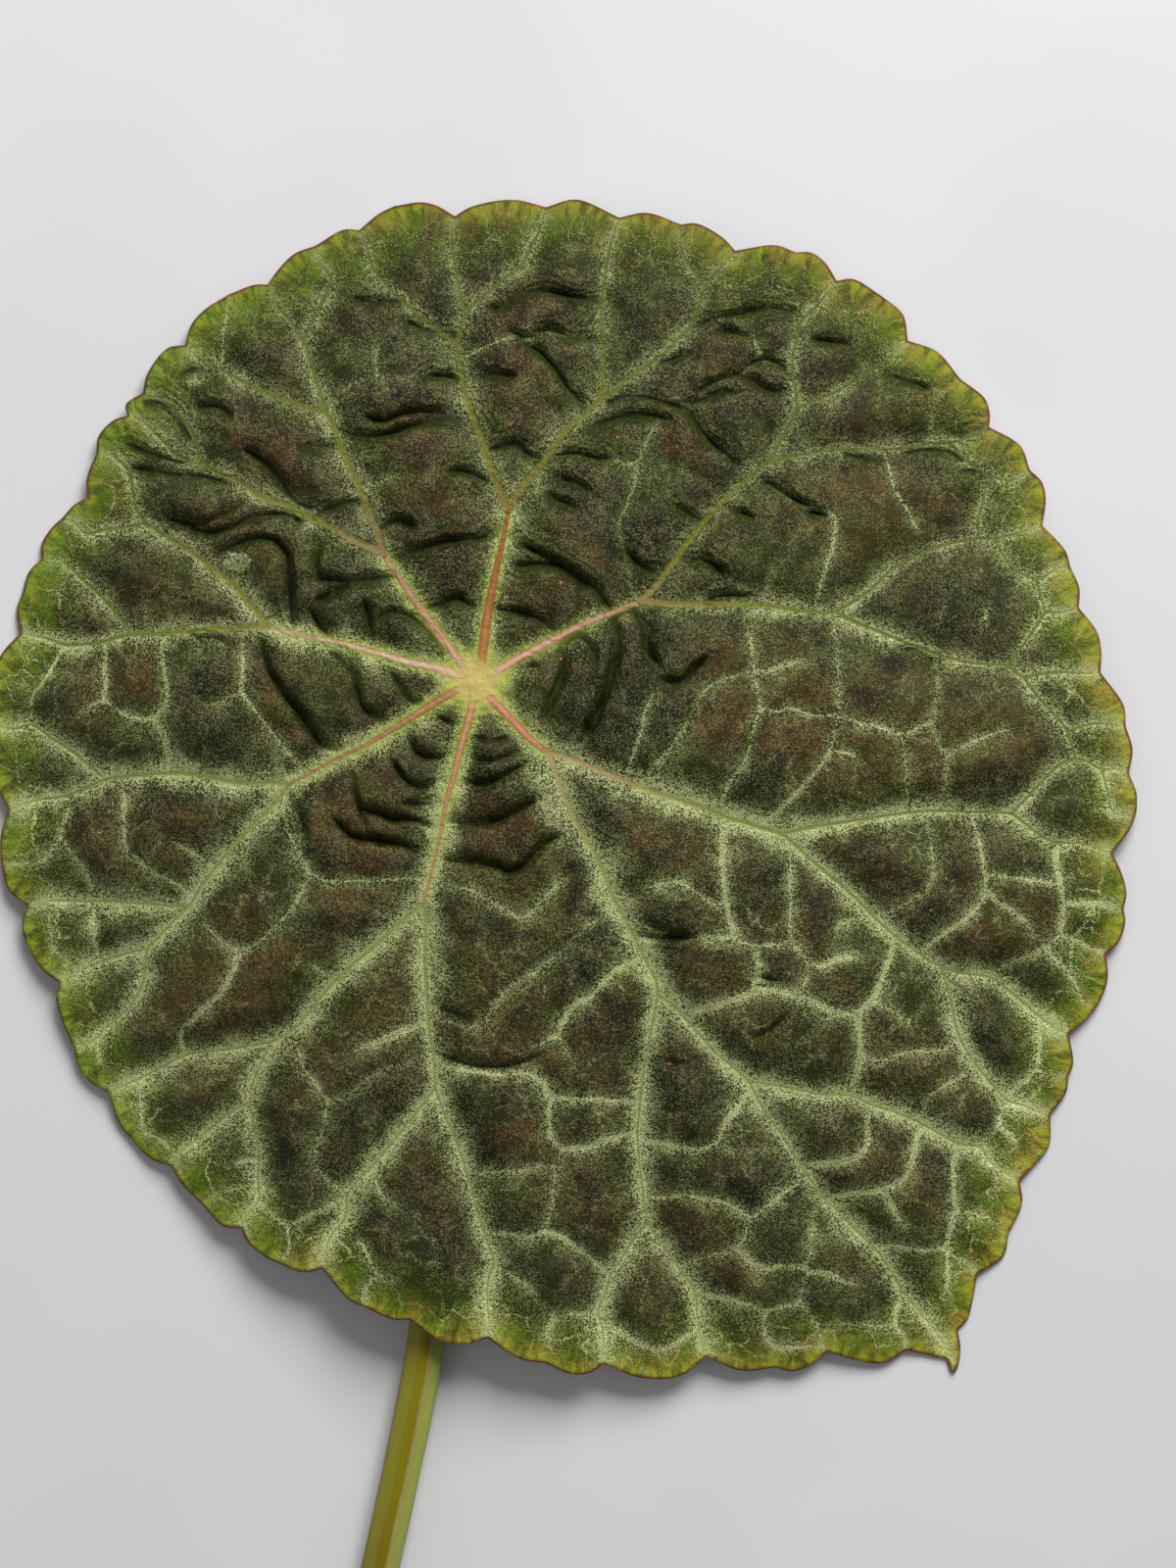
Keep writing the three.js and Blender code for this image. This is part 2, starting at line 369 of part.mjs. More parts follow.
// The margin, counter-clockwise; every lobe is a curve of its own, so the notches stay sharp
function marginPoints() {
  const points = LOBES.flatMap((lobe, index) => {
    const next = LOBES[(index + 1) % LOBES.length][0];
    return alongCurve([...lobe, next], MARGIN_STEP).slice(0, -1);
  });
  return points.reverse();
}

const margin = marginPoints();
const closed = (points) => points.map((point, index) => [point, points[(index + 1) % points.length]]);
const open = (points) => points.slice(1).map((point, index) => [points[index], point]);
const lines = {
  margin: closed(margin),
  main: MAIN_VEINS.flatMap((vein) => open(vein.map(onPlan))),
  side: SIDE_VEINS.flatMap((vein) => open(vein.map(onPlan))),
  cross: CROSS_VEINS.flatMap((vein) => open(vein.map(onPlan))),
  fold: FOLDS.flatMap((fold) => open(fold.map(onPlan))),
};

// Distance on the plan from a point to the nearest of some line pieces
function distanceTo(pieces, point) {
  let least = Infinity;
  for (const [from, to] of pieces) {
    const alongX = to.x - from.x;
    const alongY = to.y - from.y;
    const offX = point.x - from.x;
    const offY = point.y - from.y;
    const share = THREE.MathUtils.clamp(
      (offX * alongX + offY * alongY) / (alongX * alongX + alongY * alongY), 0, 1);
    least = Math.min(least, (offX - share * alongX) ** 2 + (offY - share * alongY) ** 2);
  }
  return Math.sqrt(least);
}

function insideMargin(point) {
  let inside = false;
  for (const [from, to] of lines.margin) {
    const crosses = (from.y > point.y) !== (to.y > point.y);
    if (crosses && point.x < from.x + ((to.x - from.x) * (point.y - from.y)) / (to.y - from.y)) {
      inside = !inside;
    }
  }
  return inside;
}

const marginPolar = margin.map((point) => ({ angle: point.angle(), reach: point.length() }));

// Reach of the blade in one direction with its lobes averaged out
function roundReach(angle) {
  let sum = 0;
  let weight = 0;
  for (const spot of marginPolar) {
    const share = bell(turnBetween(spot.angle, angle) / MARGIN_AVERAGE);
    sum += share * spot.reach;
    weight += share;
  }
  return sum / weight;
}

const stalkAngle = onPlan(STALK_ROUTE[0]).angle();

// Height of the margin over the table in one direction
function marginLift(angle) {
  const arch = ARCH_HEIGHT * bell(turnBetween(angle, stalkAngle) / ARCH_ANGLE);
  const wave = (WAVE_HEIGHT * (1 + Math.cos(WAVES * angle + WAVE_TURN))) / 2;
  return Math.max(arch, wave);
}

// Height of the underside between its ribs: a low dome with the quilt and the folds on it
function underside(point) {
  const reach = point.length();
  const angle = point.angle();
  const out = Math.max(0, reach - PAD_RADIUS) / (roundReach(angle) - PAD_RADIUS);
  const dome = HUB_HEIGHT * (1 - out ** DOME_POWER) + marginLift(angle) * out ** 2;
  const vein = Math.min(distanceTo(lines.main, point), distanceTo(lines.side, point));
  const overCross = rise(distanceTo(lines.cross, point) / CROSS_REACH);
  const overFold = rise(distanceTo(lines.fold, point) / FOLD_REACH);
  const quilt = QUILT_HEIGHT * rise(vein / QUILT_REACH)
    * THREE.MathUtils.lerp(CROSS_LEAST, 1, overCross)
    * THREE.MathUtils.lerp(FOLD_LEAST, 1, overFold);
  const edge = distanceTo(lines.margin, point);
  const fade = smooth(edge / MARGIN_FADE) * smooth((reach - PAD_RADIUS) / HUB_FADE);
  return Math.max(0, dome) + quilt * fade;
}

// Depth of the ribs and of the hub's pad under that surface
function ribDepth(point) {
  const edge = smooth(distanceTo(lines.margin, point) / RIB_FADE);
  const ribs = Object.entries(RIBS).map(
    ([order, [height, width]]) => height * edge * bell(distanceTo(lines[order], point) / width));
  const pad = PAD_DEPTH * (1 - smooth((point.length() - PAD_RADIUS) / PAD_FADE));
  return Math.max(pad, ...ribs);
}

// Top and bottom of the blade at one point; the wall keeps its thickness where the surface slopes
function bladeHeights(point) {
  const level = underside(point);
  const slopeX = (underside(new THREE.Vector2(point.x + SLOPE_PROBE, point.y)) - level) / SLOPE_PROBE;
  const slopeY = (underside(new THREE.Vector2(point.x, point.y + SLOPE_PROBE)) - level) / SLOPE_PROBE;
  const out = smooth(point.length() / roundReach(point.angle()));
  const thickness = THREE.MathUtils.lerp(THICK_AT_HUB, THICK_AT_MARGIN, out);
  const top = level + thickness * Math.hypot(1, slopeX, slopeY);
  return { top, bottom: Math.max(0, level - ribDepth(point)) };
}

// Every point of the blade's mesh, margin first: hub, veins, folds, a ring inside the margin, then fill
function bladePoints() {
  const points = [...margin];
  const addClear = (point, step) => {
    const clear = step * CLEAR_SHARE;
    if (points.every((other) => point.distanceTo(other) > clear)) {
      points.push(point);
    }
  };
  const addInside = (point, step) => {
    if (insideMargin(point) && distanceTo(lines.margin, point) > EDGE_CLEAR) {
      addClear(point, step);
    }
  };

  addClear(new THREE.Vector2(0, 0), MAIN_STEP);
  for (let spoke = 0; spoke < STALK_SIDES; spoke++) {
    const angle = (spoke * 2 * Math.PI) / STALK_SIDES;
    const onPadRim = new THREE.Vector2(PAD_RADIUS * Math.cos(angle), PAD_RADIUS * Math.sin(angle));
    addClear(onPadRim, MARGIN_STEP / 2);
  }
  const ordered = [
    [MAIN_VEINS, MAIN_STEP], [SIDE_VEINS, SIDE_STEP], [FOLDS, FOLD_STEP], [CROSS_VEINS, CROSS_STEP],
  ];
  for (const [routes, step] of ordered) {
    for (const route of routes) {
      alongCurve(route, step).forEach((point) => addInside(point, step));
    }
  }
  for (const [from, to] of lines.margin) {
    const across = new THREE.Vector2(from.y - to.y, to.x - from.x).setLength(INNER_RING);
    addInside(from.clone().add(to).multiplyScalar(0.5).add(across), RING_STEP);
  }
  const nearHub = fillPoints(FILL_NEAR).filter((point) => point.length() < NEAR_HUB);
  nearHub.forEach((point) => addInside(point, FILL_NEAR));
  fillPoints(FILL_FAR).forEach((point) => addInside(point, FILL_FAR));
  return points;
}

// A staggered grid over the blade, each point moved a little so that no four share a circle
function fillPoints(spacing) {
  const box = new THREE.Box2().setFromPoints(margin);
  const rows = Math.ceil((box.max.y - box.min.y) / (spacing * ROW_SHARE));
  const columns = Math.ceil((box.max.x - box.min.x) / spacing);
  const points = [];
  for (let row = 0; row < rows; row++) {
    for (let column = 0; column < columns; column++) {
      const turn = row * 12.9898 + column * 78.233;
      points.push(new THREE.Vector2(
        box.min.x + (column + (row % 2) / 2 + STAGGER * Math.cos(turn)) * spacing,
        box.min.y + (row * ROW_SHARE + STAGGER * Math.sin(turn)) * spacing));
    }
  }
  return points;
}

// Delaunay triangles of the points, counter-clockwise, by adding one point at a time
function triangulate(points) {
  const far = [[-FAR_OFF, -FAR_OFF], [FAR_OFF, -FAR_OFF], [0, FAR_OFF]];
  const all = [...points, ...far.map(([x, y]) => new THREE.Vector2(x, y))];
  const withCircle = (corners) => {
    const [a, b, c] = corners.map((corner) => all[corner]);
    const twice = 2 * ((b.x - a.x) * (c.y - a.y) - (b.y - a.y) * (c.x - a.x));
    const ab = b.clone().sub(a);
    const ac = c.clone().sub(a);
    const centre = new THREE.Vector2(
      a.x + (ac.y * ab.lengthSq() - ab.y * ac.lengthSq()) / twice,
      a.y + (ab.x * ac.lengthSq() - ac.x * ab.lengthSq()) / twice);
    const turned = twice > 0 ? corners : [corners[1], corners[0], corners[2]];
    return { corners: turned, centre, reach: centre.distanceToSquared(a) };
  };
  let triangles = [withCircle([points.length, points.length + 1, points.length + 2])];
  points.forEach((point, index) => {
    const rim = new Map();
    triangles = triangles.filter(({ corners, centre, reach }) => {
      if (centre.distanceToSquared(point) >= reach) {
        return true;
      }
      corners.forEach((corner, side) => {
        const next = corners[(side + 1) % 3];
        if (!rim.delete(`${next},${corner}`)) {
          rim.set(`${corner},${next}`, [corner, next]);
        }
      });
      return false;
    });
    rim.forEach(([from, to]) => triangles.push(withCircle([from, to, index])));
  });
  return triangles.map(({ corners }) => corners).filter((corners) => {
    const real = corners.every((corner) => corner < points.length);
    const middle = new THREE.Vector2();
    corners.forEach((corner) => middle.addScaledVector(all[corner], 1 / 3));
    return real && insideMargin(middle);
  });
}

function solidFrom(positions, triangles) {
  const geometry = new THREE.BufferGeometry();
  geometry.setAttribute('position', new THREE.Float32BufferAttribute(positions, 3));
  geometry.setIndex(triangles.flat());
  geometry.computeVertexNormals();
  return geometry;
}

// Blade: both faces hold the same triangles, so the thin wall never crosses itself
function bladeGeometry() {
  const points = bladePoints();
  const heights = points.map(bladeHeights);
  const under = points.length;
  const faces = triangulate(points);
  const wall = margin.flatMap((_, from) => {
    const to = (from + 1) % margin.length;
    return [[from + under, to + under, to], [from + under, to, from]];
  });
  const positions = [
    ...points.flatMap(({ x, y }, index) => [x, y, heights[index].top]),
    ...points.flatMap(({ x, y }, index) => [x, y, heights[index].bottom]),
  ];
  const underFaces = faces.map(([a, b, c]) => [c + under, b + under, a + under]);
  return solidFrom(positions, [...faces, ...underFaces, ...wall]);
}

// Centre line of the stalk: down from the hub, round a bend, then along the table to its cut end
function stalkStations() {
  const start = HUB_HEIGHT - PAD_DEPTH - JOINT_GAP;
  const lie = STALK_RADIUS * Math.cos(FLAT_ANGLE) - PRESSED;
  const drop = start - lie - BEND_RADIUS;
  const heading = new THREE.Vector2(Math.cos(stalkAngle), Math.sin(stalkAngle));
  const stations = [{ x: 0, y: 0, z: start, pitch: Math.PI / 2, heading: stalkAngle }];
  for (let step = 0; step <= BEND_STEPS; step++) {
    const turned = (step / BEND_STEPS) * (Math.PI / 2);
    const out = BEND_RADIUS * (1 - Math.cos(turned));
    stations.push({
      x: heading.x * out,
      y: heading.y * out,
      z: start - drop - BEND_RADIUS * Math.sin(turned),
      pitch: Math.PI / 2 - turned,
      heading: stalkAngle,
    });
  }
  const last = stations.at(-1);
  const route = new THREE.CatmullRomCurve3([
    new THREE.Vector3(last.x, last.y, lie),
    ...STALK_ROUTE.map((point) => new THREE.Vector3(onPlan(point).x, onPlan(point).y, lie)),
  ]);
  for (let step = 1; step <= RUN_STEPS; step++) {
    const { x, y, z } = route.getPointAt(step / RUN_STEPS);
    const along = route.getTangentAt(step / RUN_STEPS);
    stations.push({ x, y, z, pitch: 0, heading: Math.atan2(along.y, along.x) });
  }
  return stations;
}

// Stalk: ridged rings joined along the centre line, with a flat strip where it lies on the table
function stalkGeometry() {
  const stations = stalkStations();
  const top = stations[0].z;
  const positions = [];
  stations.forEach(({ x, y, z, pitch, heading }, index) => {
    const widen = NECK_GROWTH * (1 - smooth((top - z) / NECK_LENGTH));
    const slant = index === stations.length - 1 ? CUT_SLANT : 0;
    const first = FLAT_ANGLE - Math.PI / 2;
    const turn = (2 * Math.PI - 2 * FLAT_ANGLE) / (STALK_SIDES - 1);
    for (let side = 0; side < STALK_SIDES; side++) {
      const angle = first + side * turn;
      const onFlat = side === 0 || side === STALK_SIDES - 1;
      const ridge = onFlat ? 0 : STALK_RIDGE * Math.cos(RIDGES * (angle - Math.PI / 2));
      const radius = STALK_RADIUS + widen + ridge;
      const across = radius * Math.cos(angle);
      const up = radius * Math.sin(angle);
      const forward = up * Math.sin(pitch) - up * slant;
      positions.push(
        x + Math.cos(heading) * forward + Math.sin(heading) * across,
        y + Math.sin(heading) * forward - Math.cos(heading) * across,
        Math.max(0, z + up * Math.cos(pitch)));
    }
  });
  const triangles = [];
  const rings = stations.length;
  for (let ring = 0; ring < rings - 1; ring++) {
    for (let side = 0; side < STALK_SIDES; side++) {
      const next = (side + 1) % STALK_SIDES;
      const [a, b] = [ring * STALK_SIDES + side, ring * STALK_SIDES + next];
      triangles.push([a, a + STALK_SIDES, b + STALK_SIDES], [a, b + STALK_SIDES, b]);
    }
  }
  const lastRing = (rings - 1) * STALK_SIDES;
  for (let side = 1; side < STALK_SIDES - 1; side++) {
    triangles.push([0, side, side + 1], [lastRing, lastRing + side + 1, lastRing + side]);
  }
  return solidFrom(positions, triangles);
}

const leafMaterial = new THREE.MeshStandardMaterial({ color: 0x3d4a26, roughness: 0.55, metalness: 0 });
const stalkMaterial = new THREE.MeshStandardMaterial({ color: 0x8a9040, roughness: 0.5, metalness: 0 });

const blade = new THREE.Mesh(bladeGeometry(), leafMaterial);
blade.name = 'leaf_blade';
const stalk = new THREE.Mesh(stalkGeometry(), stalkMaterial);
stalk.name = 'leaf_stalk';

const leaf = new THREE.Group();
leaf.add(blade, stalk);
const size = new THREE.Box3().setFromObject(leaf);
leaf.position.set(-(size.min.x + size.max.x) / 2, -(size.min.y + size.max.y) / 2, 0);

export default leaf;
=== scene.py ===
"""Dresses the begonia leaf: a finely quilted blade with its veins, and the ridged stalk it lies on.

Lengths are in millimetres until a mesh is written, and in metres after that.
"""
import logging
import math
from collections.abc import Callable
from dataclasses import dataclass, field
from enum import Enum
from functools import reduce

import bpy
import numpy as np
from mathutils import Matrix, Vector, geometry


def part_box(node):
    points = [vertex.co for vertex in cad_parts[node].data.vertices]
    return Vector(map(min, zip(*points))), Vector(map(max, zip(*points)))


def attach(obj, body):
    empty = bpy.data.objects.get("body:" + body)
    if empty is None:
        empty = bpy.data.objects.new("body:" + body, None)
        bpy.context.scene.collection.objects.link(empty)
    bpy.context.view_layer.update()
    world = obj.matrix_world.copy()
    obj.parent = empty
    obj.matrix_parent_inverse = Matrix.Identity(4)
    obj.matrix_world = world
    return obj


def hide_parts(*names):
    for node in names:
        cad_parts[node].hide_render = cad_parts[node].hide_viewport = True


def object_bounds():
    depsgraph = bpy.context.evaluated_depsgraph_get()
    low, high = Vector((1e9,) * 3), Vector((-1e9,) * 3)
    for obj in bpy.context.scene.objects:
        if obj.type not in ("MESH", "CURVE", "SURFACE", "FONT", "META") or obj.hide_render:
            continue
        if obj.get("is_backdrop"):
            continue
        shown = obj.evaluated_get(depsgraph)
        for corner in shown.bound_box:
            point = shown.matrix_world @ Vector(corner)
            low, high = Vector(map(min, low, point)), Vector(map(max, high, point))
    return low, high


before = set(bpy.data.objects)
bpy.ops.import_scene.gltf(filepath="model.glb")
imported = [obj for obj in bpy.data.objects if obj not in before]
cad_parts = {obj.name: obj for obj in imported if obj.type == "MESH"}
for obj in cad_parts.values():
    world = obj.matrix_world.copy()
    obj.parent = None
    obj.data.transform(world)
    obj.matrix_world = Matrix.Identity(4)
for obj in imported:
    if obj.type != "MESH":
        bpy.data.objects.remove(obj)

LOG = logging.getLogger("begonia_leaf")
MM = 0.001
# How far inside the solids' box every vertex stays, in metres
INSIDE = 0.00002

# Drawing of the leaf, in grid steps right and down
GRID = 0.15
HUB = (488, 697)


def traced(text: str) -> tuple:
    """Reads routes that stand one on each line, as points in grid steps right and down."""
    lines = (line.split() for line in text.split("\n") if line)
    return tuple(tuple(tuple(map(int, spot.split(","))) for spot in line) for line in lines)


# Lobes of the margin, clockwise from the top, each from its notch to just before the next one
LOBES = traced("""
464,220 481,210 524,203
557,211 588,203
632,222 660,217
695,229 711,228 738,243
750,256 792,250
812,257 828,257 842,267
854,286 871,284
900,301 922,320
927,347 957,358
981,386 1006,406 1011,422
1010,435 1042,454
1052,479 1064,491 1068,508
1064,536 1088,562
1093,579 1102,600
1101,620 1120,645 1124,664
1123,686 1147,720
1149,741 1156,765
1152,789 1161,814 1156,841
1135,871 1144,889 1150,911
1147,928 1149,941 1142,962
1129,974 1131,1000 1117,1032
1091,1055 1096,1086
1091,1099 1089,1115
1072,1139 1073,1150 1071,1171
1041,1206 1044,1228
1030,1260 1025,1283
998,1301 993,1330 988,1348
978,1358 981,1376 980,1388 978,1397 975,1402
971,1401 969,1396 966,1388 955,1386
925,1379 903,1392 879,1390
844,1380 825,1395 807,1400
791,1396 757,1399
720,1384 701,1400 685,1406 650,1404
616,1390 602,1399 583,1400
556,1388 532,1384
498,1362 476,1368 449,1364
419,1343 402,1343
372,1330 359,1325
330,1292 316,1296 303,1295
284,1287 272,1282 252,1265
247,1253 228,1251
206,1229 185,1208
174,1190 153,1183
131,1161 120,1147
110,1115 94,1107 80,1091
75,1071 62,1040 57,1018
61,1003 43,990 24,956 23,937
28,925 8,908 3,892 0,857
8,826 -10,790
-12,741 -16,718
-12,696 1,666
20,646 16,621
21,607 29,582
42,570 41,556 51,539
64,527 75,515
90,507 88,490
98,462 100,445 115,429
130,424 128,413
146,401 150,382 171,355
189,352 195,331 208,316
233,300 260,290
273,290 284,274 300,258
321,250 351,233
366,234 386,217
402,209 430,205 446,209
""")

# The seven main veins, from the hub out
MAIN_VEINS = traced("""
493,680 498,640 505,600 516,548 520,524
498,693 524,678 551,663 578,649 604,636 631,626 654,616
492,704 508,720 524,736 540,753 556,766
486,710 481,734 473,761 465,793 457,822 453,846 445,881 438,908 435,921
470,705 444,720 417,737 396,750 375,762 348,774 321,789 300,800
478,694 444,683 417,677 388,668 348,658 308,650 277,641
481,690 468,672 449,648 430,621 412,595 394,568
""")

# Their branches, out to the notches of the margin
SIDE_VEINS = traced("""
520,524 505,489 497,465 486,436 478,412 472,385 468,355 471,337 476,320
468,355 454,345 430,326 406,304 396,294 380,272 375,254 366,234
476,320 471,307 466,280 462,254 461,232 464,220
476,320 497,302 519,283 533,272 540,257 551,235 557,211
520,524 535,500 551,481 569,455 583,438 599,425 612,411
612,411 615,388 614,361 613,334 614,307 618,280 622,254 628,235 632,222
612,411 631,398 652,382 674,366 693,347 706,334 715,307 719,294 735,275 750,256
719,294 703,272 695,254 695,229
654,616 674,594 693,567 711,543 730,521 752,500 770,484 786,468 800,443 812,419
778,476 801,470 828,464 852,461 876,460 900,460 927,458 946,453 970,452 994,444 1010,435
970,452 978,464 989,473 1008,485 1021,489 1037,489 1052,479
1008,485 1002,513 997,532 997,549
812,419 834,409 855,400 879,385 900,371 914,358 927,347
812,419 811,404 808,382 808,366 813,347 817,329 834,312 844,299 854,286
654,616 685,619 738,619 778,620 807,624 834,627 850,626
850,626 874,612 890,600 906,584 927,572 943,564 967,556 992,550 1013,550 1034,545 1064,536
1013,550 1026,572 1042,586 1057,591 1069,586 1083,578 1093,579
1057,591 1059,602 1066,624
850,626 874,638 900,648 927,659 951,668 973,674 1000,678 1026,680 1042,691 1061,688 1083,686 \
    1101,687 1123,686
1026,680 1042,659 1056,640 1066,625 1083,625 1101,620
1042,691 1050,702 1061,715 1075,731 1088,746 1092,761 1096,774
1088,746 1101,742 1117,738 1131,739 1149,741
1096,774 1109,777 1123,785 1136,784 1152,789
1123,785 1127,798 1131,814 1134,828 1152,833
556,766 577,773 604,783 631,795 658,805 685,814 711,822 738,833 765,841 796,850
796,850 834,842 874,836 914,830 946,827 981,828 1021,829 1029,830 1045,841 1061,853 1075,859 \
    1099,860 1115,864 1135,871
1029,830 1040,820 1053,806 1069,790 1083,778 1096,774
796,850 812,864 828,879 847,895 868,913 892,937 909,952 930,968 954,983 981,992 1008,996 1032,1013 \
    1050,1028 1064,1040 1080,1050 1091,1055
957,984 964,1003 970,1027 975,1051 984,1070 1000,1092 1021,1116 1028,1123 1042,1127 1061,1135 \
    1072,1139
556,766 561,774 569,793 577,814 588,838 602,862 615,889 628,919 642,945 655,972 669,1000 670,1012
670,1012 666,1037 660,1067 655,1099 652,1129 650,1153 652,1182 655,1209 661,1244 674,1265 693,1292 \
    709,1317 711,1337 714,1359 720,1384
661,1244 647,1260 634,1281 623,1297 618,1316 610,1335 615,1354 616,1390
670,1012 690,1027 711,1051 730,1072 749,1088 763,1101
763,1101 780,1103 807,1108 834,1114 866,1116 887,1125 914,1134 941,1146 967,1161 981,1167 1000,1170 \
    1010,1185 1026,1197 1041,1206
763,1101 778,1130 796,1155 815,1185 834,1214 850,1230 871,1252 895,1276 909,1297 922,1319 938,1337 \
    951,1354 965,1375 974,1402
435,921 437,935 436,975 438,1012 441,1054 445,1078 446,1106
446,1106 425,1134 403,1161 383,1185 367,1201 356,1217 355,1238 340,1257 332,1279 330,1292
446,1106 457,1137 470,1169 478,1193 485,1220 492,1244 500,1268 505,1287 500,1297 498,1321 500,1343 \
    498,1362
435,921 414,937 390,959 356,988 337,1007 321,1027 300,1050 279,1061
279,1061 254,1066 228,1070 193,1075 166,1088 145,1099 129,1106 110,1115
279,1061 265,1091 258,1110 257,1123 261,1150 266,1174 265,1204 265,1225 254,1236 247,1253
257,1123 241,1131 220,1147 201,1163 182,1177 174,1190
300,800 281,799 241,798 214,792 182,789 147,791 112,795 94,802 70,812 40,816 8,826
300,800 279,825 257,846 236,870 214,897 197,923
197,923 185,924 150,921 112,919 75,919 51,919 28,925
197,923 182,937 166,954 153,966 134,971 107,980 80,992 61,1003
153,966 151,980 148,1002 131,1030 112,1045 94,1063 75,1071
277,641 241,643 201,645 161,648 139,648 107,655 86,658 67,658 51,652 32,648 20,646
139,648 123,629 107,611 88,594 72,579 59,571 42,570
277,641 268,629 254,613 246,602 222,583 201,567 177,551 150,535
150,535 129,539 107,541 88,545 78,535 64,527
150,535 142,524 138,508 134,484 126,473 115,465 98,462
394,568 388,548 380,527 372,508 362,484 351,460 343,438 335,423 327,398 319,374 311,350 297,329 \
    284,312 277,299 273,290
335,425 308,417 279,405 249,391 228,379 212,374 200,363 189,352
311,350 321,326 332,304 339,286 332,275 325,264 321,250
394,568 375,560 348,545 321,532 295,519 268,508 252,497 236,489 214,479 198,473 185,468 171,454 \
    155,438 142,428 130,424
214,479 206,468 202,452 195,438 185,425 171,411 158,404 146,401
104,790 91,779 75,766 54,753 32,739 16,744 0,741 -12,741
""")

